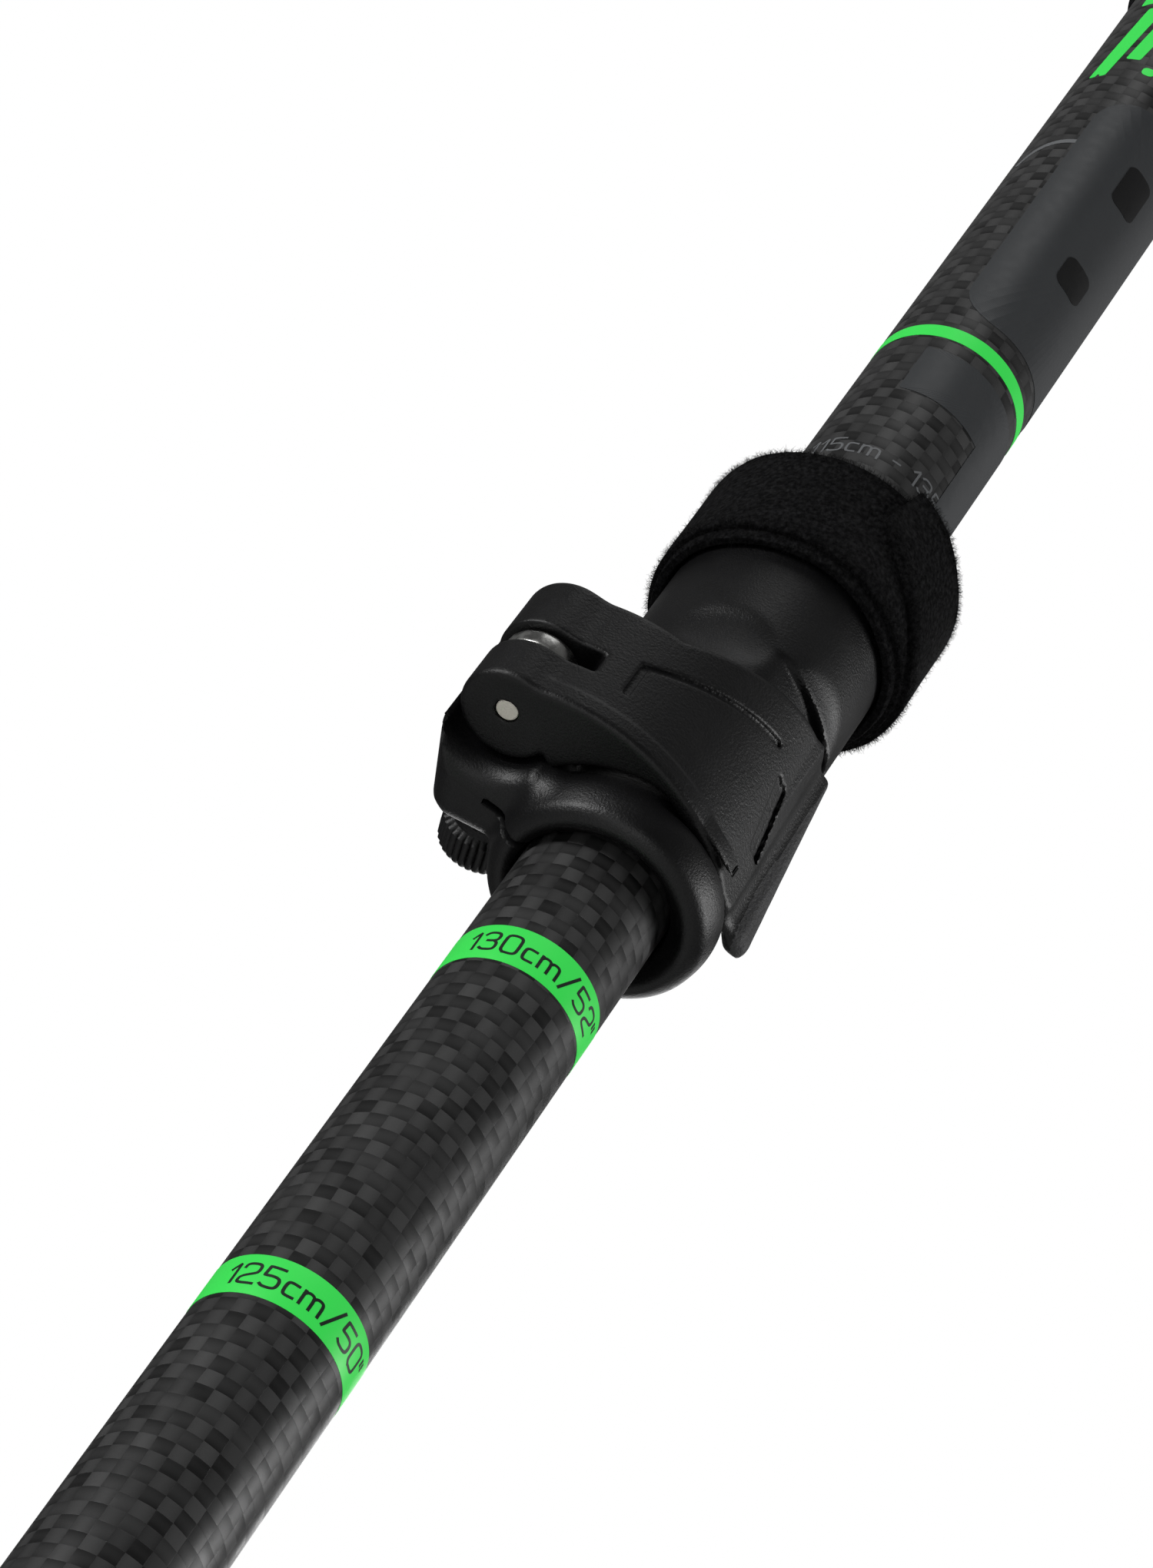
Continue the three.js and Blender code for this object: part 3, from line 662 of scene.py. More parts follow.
def outline_distance(x, y, outline):
    """Signed distance to a closed outline: the nearest of its sides, negative inside, where a ray
    to the right crosses the sides an odd number of times."""
    x, y = np.broadcast_arrays(x, y)
    near = np.full(x.shape, 1e9)
    inside = np.zeros(x.shape, bool)
    for (x0, y0), (x1, y1) in zip(outline, np.roll(outline, -1, axis=0)):
        dx, dy = x1 - x0, y1 - y0
        share = np.clip(((x - x0) * dx + (y - y0) * dy) / (dx * dx + dy * dy + 1e-12), 0, 1)
        near = np.minimum(near, np.hypot(x - x0 - share * dx, y - y0 - share * dy))
        if y0 != y1:
            inside ^= ((y0 > y) != (y1 > y)) & (x < dx * (y - y0) / (y1 - y0) + x0)
    return np.where(inside, -near, near)


def skin(field, low, high, step):
    """Surface nets: each grid cell that the zero level crosses gets one point, the mean of the
    crossings on its edges, and each crossed edge gives the quad of its four cells. Newton steps
    then pull the points on to the surface."""
    axes = [np.arange(a, b + step, step) for a, b in zip(low, high)]
    value = field(axes[0][:, None, None], axes[1][None, :, None], axes[2][None, None, :])
    quads, owners, crossings = [], [], []
    for axis in range(3):
        count = value.shape[axis]
        a = value.take(range(count - 1), axis)
        b = value.take(range(1, count), axis)
        edge = np.argwhere((a < 0) != (b < 0))
        fa, fb = a[tuple(edge.T)], b[tuple(edge.T)]
        point = edge.astype(float)
        point[:, axis] += fa / (fa - fb)
        cells = []
        for du, dv in ((0, 0), (1, 0), (1, 1), (0, 1)):
            cell = edge.copy()
            cell[:, (axis + 1) % 3] -= du
            cell[:, (axis + 2) % 3] -= dv
            cells.append(np.ravel_multi_index(cell.T, value.shape))
            owners.append(cells[-1])
            crossings.append(point)
        quad = np.stack(cells, 1)
        quads.append(np.where((fa < 0)[:, None], quad, quad[:, ::-1]))
    names, number = np.unique(np.concatenate(owners), return_inverse=True)
    total = np.zeros((len(names), 3))
    np.add.at(total, number, np.concatenate(crossings))
    points = total / np.bincount(number)[:, None] * step + np.array(low)
    faces = np.searchsorted(names, np.concatenate(quads))
    for _ in range(3):
        f = field(*points.T)
        slope = np.stack([field(*(points + d).T) - f for d in 0.02 * np.eye(3)], 1) / 0.02
        pull = np.clip(f / np.maximum((slope**2).sum(1), 0.3), -0.4 * step, 0.4 * step)
        points = points - pull[:, None] * slope
    return points, faces


def around(x, y, radius, first, last, steps=60):
    """Points of an arc about (x, y), angles in degrees."""
    a = np.radians(np.linspace(first, last, steps))
    return np.stack([x + radius * np.cos(a), y + radius * np.sin(a)], 1)


# %% Places shared by the clamp's pieces
LOCK_LOW, LOCK_HIGH = span("lock_body")
LEVER_LOW, LEVER_HIGH = span("lever")
PIN_X, PIN_Y = -17.2, -10.2
BOLT_Z = 917.2
BOLT_LEAN = math.radians(11.5)
ALONG = np.array([math.sin(BOLT_LEAN), math.cos(BOLT_LEAN), 0])
ASIDE = np.array([math.cos(BOLT_LEAN), -math.sin(BOLT_LEAN), 0])
EAR_REACH = 14.4
COLLAR_X, COLLAR_Y = 0.6, -0.6


def along_bolt(points):
    """Turns points made about z so that z runs along the clamp's bolt, from the hinge pin."""
    p = np.asarray(points)
    return np.array([PIN_X, PIN_Y, BOLT_Z]) + p[:, :1] * [0, 0, 1] + p[:, 1:2] * ASIDE + p[:, 2:] * ALONG


def ear_face(s, out=EAR_REACH):
    """A point of the outer ear face in plan, s aside from the bolt."""
    return (np.array([PIN_X, PIN_Y]) + out * ALONG[:2] + s * ASIDE[:2]).tolist()


# %% Clamp body
clamp_nylon = moulded("clamp_nylon", 11, 0.40)
ears_part = add(clamp_nylon, "SeparateXYZ", [(0, place(clamp_nylon))])
off_line = sum_up(clamp_nylon, "ABSOLUTE", sum_up(clamp_nylon, "ADD", ears_part.outputs[1], 0.00175))
near_line = between(clamp_nylon, off_line, 0.00008, 0.00016, 1.0, 0.0)
ears_only = between(clamp_nylon, ears_part.outputs[0], -0.0140, -0.0138, 1.0, 0.0)
tinted(clamp_nylon, sum_up(clamp_nylon, "MULTIPLY", near_line, ears_only), colour(11, 11, 12),
       colour(1, 1, 1))
collar_outline = rounded([(4.0, LOCK_LOW + 3.0), (7.4, LOCK_LOW + 2.3), (9.9, LOCK_LOW - 0.4),
                          (11.7, LOCK_LOW + 0.6), (12.35, LOCK_LOW + 3.6), (11.8, LOCK_LOW + 6.6),
                          (10.2, LOCK_LOW + 8.2), (4.0, LOCK_LOW + 8.2)], 2.2, 7)
ear_outline = rounded([(-7, 0), (-8, 4.2), ear_face(5.2), ear_face(-2.7), (-18.9, 3.3),
                       *around(PIN_X, PIN_Y, 6.15, 148, 28, 14), (-9, -8), (-7, 0)], 0.7, 3)[:-1]


def clamp_field(x, y, z):
    """Sleeve, neck and collar are rings; the ears are a block. They join smoothly, and the bores,
    the slit, the cam's cup, the nut's seat, the lever's bed and two finger dimples are carved out."""
    r = np.hypot(x, y)
    sleeve = smooth_max(r - 12.3, slab(z, 926.8, LOCK_HIGH), 1.2)
    neck = smooth_max(r - 10.5, slab(z, LOCK_LOW + 3, 930), 0.6)
    collar = outline_distance(np.hypot(x - COLLAR_X, y - COLLAR_Y), z, collar_outline)
    ears = smooth_max(outline_distance(x, y, ear_outline), slab(z, LOCK_LOW + 2.3, 925.7), 3.2)
    body = smooth_min(smooth_min(sleeve, neck, 2.0), smooth_min(collar, ears, 1.3), 0.9)
    bed = np.hypot(x + 7.4, y - 4.8)
    bed = smooth_max(19.05 - bed, slab(z, LEVER_LOW - 0.4, 937.4), 0.5)
    bed = np.maximum(bed, np.maximum(-y - 60, x * 0.26 + y - 2.2))
    body = smooth_max(body, -bed, 0.5)
    cup = np.maximum(np.hypot(x - PIN_X, y - PIN_Y) - 6.15, slab(z, LEVER_LOW - 0.4, 928))
    body = smooth_max(body, -cup, 0.4)
    for turn, half in ((-111, 5.2), (-47, 5.6)):
        a = math.radians(turn)
        side = 12.3 * np.arctan2(-x * math.sin(a) + y * math.cos(a), x * math.cos(a) + y * math.sin(a))
        dent = np.sqrt((side / half) ** 2 + ((z - 936.6) / 3.6) ** 2 + ((r - 12.4) / 0.7) ** 2) - 1
        body = smooth_max(body, -dent, 0.35)
    bore = np.where(z < 939.7, 8.3 + 0 * r, 9.4)
    body = smooth_max(body, bore - r, 0.3)
    slit = np.maximum(slab(y, -2.1, -1.4), np.maximum(np.abs(x + 10.1) - 4.1, z - 929))
    body = np.maximum(body, -slit)
    reach = (x - PIN_X) * ALONG[0] + (y - PIN_Y) * ALONG[1]
    aside = (x - PIN_X) * ASIDE[0] + (y - PIN_Y) * ASIDE[1]
    hole = np.maximum(np.hypot(aside, z - BOLT_Z) - 2.3, 3 - reach)
    seat = np.maximum(np.hypot(aside, z - BOLT_Z) - 5.1, EAR_REACH - reach)
    return np.maximum(np.maximum(body, -hole), -seat)


clamp_points, clamp_faces = skin(clamp_field, (-24.15, -14.35, LOCK_LOW - 1.4), (15, 15.4, LOCK_HIGH + 1.0),
                                 0.35)
piece("clamp_body", clamp_points, clamp_faces, clamp_nylon, "upper", "nylon", ["lock_body"], weld=False)
print("clamp body faces", len(clamp_faces))

# %% [markdown]
# The lever wraps the front of the clamp: a curved plate, a round root that turns on the pin with a
# slot for the bolt's eye, and a rough lip for the thumb. Its foot reaches in to the collar. A frame
# is let into its face as fine grooves, where a maker would put a mark; it stays blank here.

# %% Lever
ARC_X, ARC_Y = -7.4, 4.8
LEVER_R = 21.3
lever_outline = np.concatenate([
    around(ARC_X, ARC_Y, LEVER_R, -125, -33, 70), [(12.6, -4.6)],
    rounded([(13.2, -3.9), (15.9, -1.25), (15.7, 0.35), (13.5, 0.35), (12.3, -1.9)], 0.95, 5),
    around(ARC_X, ARC_Y, 19.4, -22, -80, 40), [(-8.9, -12.6), (-12.2, -9.9), (-14.4, -7.5)]])
foot_outline = np.concatenate([around(ARC_X, ARC_Y, LEVER_R, -125, -50, 50),
                               around(COLLAR_X, COLLAR_Y, 12.8, -40, -150, 50)])
FRAME_LINES = [((-8.7, 915.3), (-8.7, 919.7)), ((-8.7, 919.7), (6.3, 927.3)), ((8.6, 925.4), (10.2, 917.3)),
               ((9.4, 925.6), (11.0, 917.5))]


def lever_top(x):
    """The top edge: level over the root, then rising to the tail, with an eased bend between."""
    return smooth_min(926.3 + np.maximum(x + 7, 0) * 0.535 + 0 * x, LEVER_HIGH - 0.1 + 0 * x, 1.0)


def lever_field(x, y, z):
    """Plate and foot from their plans, a round root, a slot, the pin's hole and the frame lines."""
    angle = np.degrees(np.arctan2(y - ARC_Y, x - ARC_X))
    rise = np.clip((z - LEVER_LOW) / 28, 0, 1)
    turn = np.radians(5.6) * rise * np.clip((angle + 80) / 30, 0, 1)
    swell = 1 + 0.105 * rise * np.clip((angle + 34) / 10, 0, 1)
    dx, dy = (x - ARC_X) * swell, (y - ARC_Y) * swell
    plan = outline_distance(ARC_X + dx * np.cos(turn) - dy * np.sin(turn),
                            ARC_Y + dx * np.sin(turn) + dy * np.cos(turn), lever_outline)
    root = np.hypot(x + 16.9, y + 9.75) - 5.2
    body = smooth_min(plan, root, 0.8)
    foot = np.maximum(outline_distance(x, y, foot_outline), z - LEVER_LOW - 2.2)
    body = smooth_min(body, foot, 0.5)
    channel = 2.6 - np.hypot(x - 14.5 + 0.02 * (z - LEVER_LOW), y + 5.35)
    body = smooth_max(body, channel, 0.3)
    body = smooth_max(body, LEVER_LOW - z, 0.8 + 1.4 * np.clip((x - 11) / 3, 0, 1))
    body = smooth_max(body, (z - lever_top(x)) * 0.88, 0.9)
    slot = smooth_max(slab(z, 915.75, 918.75), x + 12.4, 0.6)
    body = smooth_max(body, -slot, 0.45)
    body = np.maximum(body, 1.32 - np.hypot(x - PIN_X, y - PIN_Y))
    outer = LEVER_R - np.hypot(x - ARC_X, y - ARC_Y)
    for (x0, z0), (x1, z1) in FRAME_LINES:
        dx, dz = x1 - x0, z1 - z0
        share = np.clip(((x - x0) * dx + (z - z0) * dz) / (dx * dx + dz * dz), 0, 1)
        line = np.hypot(x - x0 - share * dx, z - z0 - share * dz) - 0.38
        body = smooth_max(body, -np.maximum(line, outer - 0.34), 0.2)
    return body


lever_points, lever_faces = skin(lever_field, (-23.3, -17.7, LEVER_LOW - 0.9), (17, 1.6, LEVER_HIGH + 0.9),
                                 0.21)
lever_piece = piece("clamp_lever", lever_points, lever_faces, lever_nylon, "lever", "nylon", ["lever"],
                    weld=False)
lever_piece.data.materials.append(coarse_nylon)
middles = lever_points[lever_faces].mean(1)
lip_reach = np.hypot(middles[:, 0] - ARC_X, middles[:, 1] - ARC_Y) + 0.075 * (middles[:, 2] - LEVER_LOW)
on_lip = (lip_reach > 22.4) & (middles[:, 0] > 13) & (middles[:, 1] < -0.2)
lever_piece.data.polygons.foreach_set("material_index", on_lip.astype(np.int32))
print("lever faces", len(lever_faces), "on the lip", int(on_lip.sum()))

# %% [markdown]
# The small steel: the pin is painted pale as a painted highlight, so that it shows as a bright dot under
# the root, and the bolt's eye shines in the slot. Broken edges catch a line of light, so each profile has
# them.

# %% Pin, bolt and nut
pin_low, pin_high = span("hinge_pin")
turned("pin", rounded([(0, pin_low), (1.2, pin_low), (1.2, pin_high), (0, pin_high)], 0.18), pin_painted_highlight,
       "bolt", 40, move=lambda p: p + [PIN_X, PIN_Y, 0], slot="steel", stands_for=["hinge_pin"])

eye_loop = rounded([(1.32, BOLT_Z), (1.32, BOLT_Z - 1.3), (4.1, BOLT_Z - 1.3), (4.1, BOLT_Z + 1.3),
                    (1.32, BOLT_Z + 1.3), (1.32, BOLT_Z)], 0.75, 6)[:-1]
eye_points = ring_grid(eye_loop, 96).reshape(-1, 3) + [PIN_X, PIN_Y, 0]
eye_part = (eye_points, ring_faces(96, len(eye_loop)))
reach = np.linspace(8.0, 25.0, 260)
thread = 1.9 - 0.16 * (0.5 - 0.5 * np.cos(2 * np.pi * reach / 0.7)) * np.clip((reach - 12) / 0.7, 0, 1)
shank_profile = np.concatenate([[(0, 4.1), (1.55, 4.1), (1.6, 7.4)], np.stack([thread, reach], 1),
                                [(1.6, 25.2), (0, 25.2)]])
shank_part = (along_bolt(ring_grid(shank_profile, 32).reshape(-1, 3)),
              ring_faces(32, len(shank_profile), False))
bolt_points, bolt_faces = joined([eye_part, shank_part])
piece("eye_and_bolt", bolt_points, bolt_faces, steel, "bolt", "steel", ["eye_bolt"])
turned("washer", rounded([(2.2, 15.0), (2.2, 14.7), (4.2, 14.7), (4.2, 15.3), (2.2, 15.3), (2.2, 15.0)],
                         0.15)[:-1], steel, "nut", 48, hollow=True, move=along_bolt, slot="steel",
       stands_for=["ear_washer"])
turned("brass_insert", rounded([(2.05, 20), (2.05, 15.8), (3.1, 15.8), (3.1, 24.0), (2.05, 24.0),
                                (2.05, 20)], 0.2)[:-1], brass, "nut", 48, hollow=True, move=along_bolt,
       slot="brass", stands_for=["nut_insert"])

# %% Thumb nut
TEETH = 34
nut_stops = np.array([15.6, 15.6, 15.75, 16.1, 17.2, 18.6, 19.3, 19.6, 19.9, 20.4, 20.9, 21.2, 21.5, 22.2,
                      23.6, 24.6, 25.0, 25.2, 25.2, 25.2, 15.6])
nut_radius = np.array([3.4, 3.9, 4.4, 4.72, 4.74, 4.74, 4.72, 4.3, 3.95, 3.9, 3.95, 4.3, 4.72, 4.74, 4.74,
                       4.70, 4.4, 4.0, 3.6, 3.4, 3.4])
nut_turns = np.linspace(0, 2 * np.pi, TEETH * 8, endpoint=False)
ridge = np.abs(np.sin(TEETH / 2 * nut_turns)) ** 0.6
bite = np.clip((nut_radius - 4.05) / 0.5, 0, 1) * 0.34
nut_r = nut_radius[None] - bite[None] * (1 - ridge[:, None])
nut_grid = relief_grid(nut_turns, nut_r, nut_stops)
piece("knurled_nut", along_bolt(nut_grid.reshape(-1, 3)), ring_faces(len(nut_turns), len(nut_stops), False),
      nylon, "nut", "nylon", ["thumb_nut"])
print("knurled nut with", TEETH, "teeth a row")

# %% [markdown]
# ## Hook-and-loop tie
# A strip of loop fabric is wound round the clamp's sleeve and bundles the sections when they are
# folded. A simulated wrap would never sit as neatly, so each turn is a rounded strip section carried
# round the axis, with the clipped free end of the outer turn on the front. Short curved fibres give
# the fuzzy outline that a bump can't.


# %% Wound strips
rng = np.random.default_rng(4)


def strip_turn(angles, inner, outer, low, high, wobble=0.12):
    """A rounded strip section carried round the axis; all five inputs are arrays over the angle.
    The section's corners are round, and a slow random sway keeps it from looking machined."""
    t = np.linspace(0, 2 * np.pi, 28, endpoint=False)
    c, s = np.cos(t), np.sin(t)
    across = np.sign(c) * np.abs(c) ** 0.35
    height = np.sign(s) * np.abs(s) ** 0.16
    mid_r, half_r = (inner + outer) / 2, (outer - inner) / 2
    mid_z, half_z = (low + high) / 2, (high - low) / 2
    r = mid_r[:, None] + half_r[:, None] * across
    z = mid_z[:, None] + half_z[:, None] * height
    sway = sum(np.sin(k * angles[:, None] + p) * np.sin(0.35 * k * z + q) / k
               for k, p, q in zip((3, 5, 9, 14), rng.uniform(0, 6, 4), rng.uniform(0, 6, 4)))
    r = r + wobble * sway * (across > -0.5)
    z = z + wobble * 1.2 * np.sin(4 * angles + 1)[:, None]
    grid = np.stack([r * np.cos(angles)[:, None], r * np.sin(angles)[:, None], z], -1)
    closed = abs(angles[-1] - angles[0] - 2 * np.pi) < 1e-6
    return grid[:-1] if closed else grid, closed


def strip_piece(name, grid, closed):
    """A wound strip as a piece; an open one gets a cap on each end."""
    rows, columns = grid.shape[:2]
    parts = [(grid.reshape(-1, 3), ring_faces(rows, columns, True, closed))]
    if not closed:
        for row, order in ((0, 1), (-1, -1)):
            centre = grid[row].mean(0)
            cap = np.concatenate([grid[row][None], 0.5 * (grid[row] + centre)[None],
                                  np.repeat(centre[None, None], columns, 1)])
            faces = grid_faces(3, columns, False, True)
            parts.append((cap.reshape(-1, 3), faces[:, ::-1] if order > 0 else faces))
    points, faces = joined(parts)
    return piece(name, points, faces, loop_fabric, "upper", "loop_fabric")


whole = np.linspace(-np.pi, np.pi, 241)
flat = np.ones_like(whole)
inner_turn, closed = strip_turn(whole, 12.6 * flat, 13.75 * flat, 950.7 * flat, 965.3 * flat)
inner_piece = strip_piece("tie_inner_turn", inner_turn, closed)
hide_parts("tie_strap")
outer_turn, closed = strip_turn(whole, 13.5 * flat, 14.45 * flat, 952.0 * flat, 966.3 * flat)
strip_piece("tie_outer_turn", outer_turn, closed)
tail_angles = np.radians(np.linspace(-81, 60, 170))
degrees = np.degrees(tail_angles)
tail_low = np.interp(degrees, [-81, -59, -50, -26, 60], [960.7, 956.8, 956.0, 952.8, 952.4])
tail_high = np.interp(degrees, [-81, -75.8, -57, -38, 60], [961.2, 967.9, 967.6, 966.6, 966.4])
tail_out = 15.3 - 0.9 * np.clip((degrees - 20) / 40, 0, 1)
tail, closed = strip_turn(tail_angles, 14.2 + 0 * degrees, tail_out, tail_low, tail_high, 0.10)
strip_piece("tie_free_end", tail, closed)


# %% Fibres of the tie
def fibres(name, roots, out, count_steps=4, length=0.9, width=0.045):
    """Flat hairs of a few quads: each root leaves along its outward direction and curls to a side
    by a square law, so tips lie over."""
    n = len(roots)
    aim = rng.normal(size=(n, 3))
    side = np.cross(out, aim)
    side /= np.linalg.norm(side, axis=1)[:, None] + 1e-9
    size = length * rng.uniform(0.35, 1.0, n)
    t = np.linspace(0, 1, count_steps)
    lines = roots[:, None] + size[:, None, None] * (
        out[:, None] * (t - 0.45 * t**2)[None, :, None] + side[:, None] * (0.9 * t**2)[None, :, None])
    flat_side = np.cross(side, out) * width / 2
    taper = (1 - 0.6 * t)[None, :, None]
    pair = np.stack([lines - flat_side[:, None] * taper, lines + flat_side[:, None] * taper], 2)
    points = pair.reshape(-1, 3)
    base = (np.arange(n) * count_steps * 2)[:, None, None]
    step = (np.arange(count_steps - 1) * 2)[None, :, None]
    faces = (base + step + np.array([0, 1, 3, 2])[None, None]).reshape(-1, 4)
    return piece(name, points, faces, loop_fabric, "upper", "loop_fabric", smooth=False, weld=False)


def on_strip(grid, count):
    """Random places on the outer side and the rims of a wound strip, and the way out there."""
    rows, columns = grid.shape[:2]
    columns_used = np.concatenate([np.arange(0, 9), np.arange(20, 28)])
    i = rng.integers(0, rows - 1, count)
    j = rng.choice(columns_used, count)
    u, v = rng.random((2, count, 1))
    a, b = grid[i, j], grid[i, (j + 1) % columns]
    c, d = grid[i + 1, j], grid[i + 1, (j + 1) % columns]
    here = (1 - u) * ((1 - v) * a + v * b) + u * ((1 - v) * c + v * d)
    out = np.cross(c - a + d - b, b - a + d - c)
    return here, out / (np.linalg.norm(out, axis=1)[:, None] + 1e-9)


hair_roots, hair_out = [np.concatenate(x) for x in zip(on_strip(outer_turn, 9000), on_strip(tail, 4500),
                                                       on_strip(inner_turn, 4000))]
facing = np.sign((hair_out[:, :2] * hair_roots[:, :2]).sum(1))
rim = np.abs(hair_out[:, 2]) > 0.75
upward = np.sign(hair_roots[:, 2] - 959.0)
hair_out = hair_out * np.where(rim, np.sign(hair_out[:, 2]) * upward, facing)[:, None]
fibres("tie_fibres", hair_roots, hair_out)
print("tie wound, with", len(hair_roots), "fibres")

# %% [markdown]
# ## Fold joints
# Each joint of the lower half is a pair of turned aluminium ferrules: a socket above, a tapered
# spigot below, and a spring button that holds the first one tight. Closed profiles are turned, and
# the button's well is pressed in by moving the points that lie within its radius.

# %% Ferrules
FOLD_1, FOLD_2 = span("ferrule_1")[0], span("ferrule_2")[0]
BUTTON_Z = FOLD_1 + 11.5


def socket_loop(z, shaft_r, out_r, mouth_r):
    """Inner mouth, chamfer, outside with two shallow grooves, top, and back down inside."""
    outside = [(out_r, z), (out_r, z + 3.2), (out_r - 0.25, z + 3.5), (out_r - 0.25, z + 4.1),
               (out_r, z + 4.4), (out_r, z + 14.2), (out_r - 0.25, z + 14.5), (out_r - 0.25, z + 14.9),
               (out_r, z + 15.2)]
    return rounded([(mouth_r, z + 3), (mouth_r, z), *outside, (out_r - 0.1, z + 17), (shaft_r + 0.05, z + 17),
                    (shaft_r + 0.05, z + 6.1), (mouth_r - 1.4, z + 6.1), (mouth_r, z + 3)], 0.45, 4)[:-1]


def spigot_loop(z, shaft_r, out_r, mouth_r):
    """A sleeve over the shaft, a shoulder, and the tapered plug with a round nose."""
    top, root = z - 0.3, mouth_r - 0.5
    return rounded([(shaft_r + 0.05, top - 8), (shaft_r + 0.05, top - 16), (out_r, top - 16),
                    (out_r, top - 4.4), (out_r - 0.25, top - 4.1), (out_r - 0.25, top - 3.5),
                    (out_r, top - 3.2), (out_r, top), (root, top), (root - 2.5, top + 10), (2.0, top + 10),
                    (2.0, top - 5.4), (shaft_r + 0.05, top - 5.4), (shaft_r + 0.05, top - 8)], 0.45, 4)[:-1]


def with_button_well(points):
    """Points of the outer wall within 2.5 mm of the button's axis sink to the shaft."""
    p = points.copy()
    away = np.hypot(p[:, 0], p[:, 2] - BUTTON_Z)
    sink = np.clip((2.75 - away) / 0.35, 0, 1) * ((p[:, 1] < 0) & (np.hypot(p[:, 0], p[:, 1]) > 8.6))
    p[:, :2] *= (1 - 0.11 * sink)[:, None]
    return p


SOCKET_R = 9.3
first_loop = socket_loop(FOLD_1, R_MIDDLE, SOCKET_R, 6.9)
wall = np.stack([np.full(60, SOCKET_R), np.linspace(FOLD_1 + 5, FOLD_1 + 14, 60)], 1)
cut = int(np.argmax((first_loop[:, 0] > SOCKET_R - 0.05) & (first_loop[:, 1] > FOLD_1 + 10)))
first_loop = np.concatenate([first_loop[:cut], wall, first_loop[cut:]])
turned("socket_ferrule_1", first_loop, anodised, "middle", 240, hollow=True, move=with_button_well,
       slot="anodised", stands_for=["ferrule_1"])
turned("socket_ferrule_2", socket_loop(FOLD_2, R_SECOND, 8.4, 6.6), anodised, "second", hollow=True,
       slot="anodised", stands_for=["ferrule_2"])
turned("spigot_ferrule_1", spigot_loop(FOLD_1, R_SECOND, 8.9, 6.9), anodised, "second", hollow=True,
       slot="anodised", stands_for=["spigot_1"])
turned("spigot_ferrule_2", spigot_loop(FOLD_2, R_THIRD, 8.1, 6.6), anodised, "third", hollow=True,
       slot="anodised", stands_for=["spigot_2"])
turned("release_button", rounded([(0, 6.0), (2.3, 6.0), (2.3, 10.6), (1.5, 11.0), (0, 11.0)], 0.6),
       aluminium, "button", 48, move=lambda p: np.stack([p[:, 0], -p[:, 2], BUTTON_Z + p[:, 1]], 1),
       slot="aluminium", stands_for=["snap_button"])
print("fold joints at", FOLD_1, FOLD_2)

# %% [markdown]
# ## Tension cord
# A cord runs through the sections. When a joint is pulled apart and folded, the cord bends round
# between the two mouths. It is one tube, with many rings where it bends.


# %% Fold cords
def fold_cord(name, z, node):
    """A round cord from inside the upper section to inside the lower one."""
    heights = np.concatenate([np.linspace(z + 95, z + 12.2, 30), np.linspace(z + 12, z + 2.5, 70),
                              np.linspace(z + 2.3, z - 30, 14)])
    profile = np.concatenate([[(0, heights[-1])], np.stack([np.full(len(heights), 1.25), heights[::-1]], 1),
                              [(0, heights[0])]])
    p = ring_grid(profile, 14, seam=True)
    made = piece(name, p.reshape(-1, 3), ring_faces(len(p), len(profile), False, False), cord_braid, None,
                 "cord", [node], ring_map(len(p), profile, 6, 0.8))
    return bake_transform(made)


fold_cord("fold_cord_1", FOLD_1, "cord_1")
fold_cord("fold_cord_2", FOLD_2, "cord_2")

# %% Inner parts that keep their CAD shape
for node, coat in (("guide_bush", smooth_nylon), ("cord_anchor", aluminium), ("tension_spring", steel),
                   ("leaf_spring", steel), ("strap_pin", steel)):
    for slot_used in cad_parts[node].material_slots:
        slot_used.material = coat

# %% [markdown]
# ## Grip
# Under the hand there is a soft foam sleeve with shallow rings, then a rubber grip, and a hard head
# that holds the wrist strap. Foam and rubber are turned shapes with an oval section; their relief is
# added to the radius, so it shows in the outline too. The sleeve's lower end tapers to the shaft.

# %% Foam sleeve and rubber grip
foam_low, foam_high = span("grip_extension")
foam_z = np.linspace(foam_low, foam_high, 200)
foam_end = np.minimum(foam_z - foam_low, foam_high - foam_z)
foam_rings = 0.33 * np.cos(2 * np.pi * (foam_z - foam_low - 8) / 12)
foam_r = 14.45 + foam_rings - 1.6 * np.clip(1 - foam_end / 2.2, 0, 1) ** 2.2
foam_r = np.minimum(foam_r, 10.2 + 0.35 * np.maximum(foam_z - foam_low - 2, 0) ** 1.1)
foam_loop = np.concatenate([[(9.4, foam_low)], np.stack([foam_r, foam_z], 1), [(9.4, foam_high)]])
foam_sleeve = turned("foam_sleeve", foam_loop, foam, "upper", 128, hollow=True, slot="foam",
                     stands_for=["grip_extension"])

grip_low, grip_high = span("grip_body")
GRIP_STOPS = [0, 2, 5, 10, 16, 22, 34, 46, 58, 70, 84, 96, grip_high - grip_low]
GRIP_RADII = [14.6, 15.3, 15.6, 15.4, 14.4, 13.6, 14.0, 13.4, 14.0, 13.6, 14.6, 16.6, 17.5]
grip_z = np.linspace(0, grip_high - grip_low, 260)
grip_r = np.interp(grip_z, GRIP_STOPS, GRIP_RADII)
window = np.hanning(21)
grip_r = np.convolve(np.pad(grip_r, 10, mode="edge"), window / window.sum(), mode="valid")
grip_a = np.linspace(0, 2 * np.pi, 300, endpoint=False)
pattern_field = np.clip((grip_z - 14) / 4, 0, 1) * np.clip((88 - grip_z) / 4, 0, 1)
palm = np.clip((np.abs(np.sin(grip_a)) - 0.45) / 0.2, 0, 1)[:, None] * pattern_field[None]
turn_phase, rise_phase = 25 * grip_a[:, None], 1.05 * grip_z[None]
diamond = np.abs(np.cos(turn_phase + rise_phase)) * np.abs(np.cos(turn_phase - rise_phase))
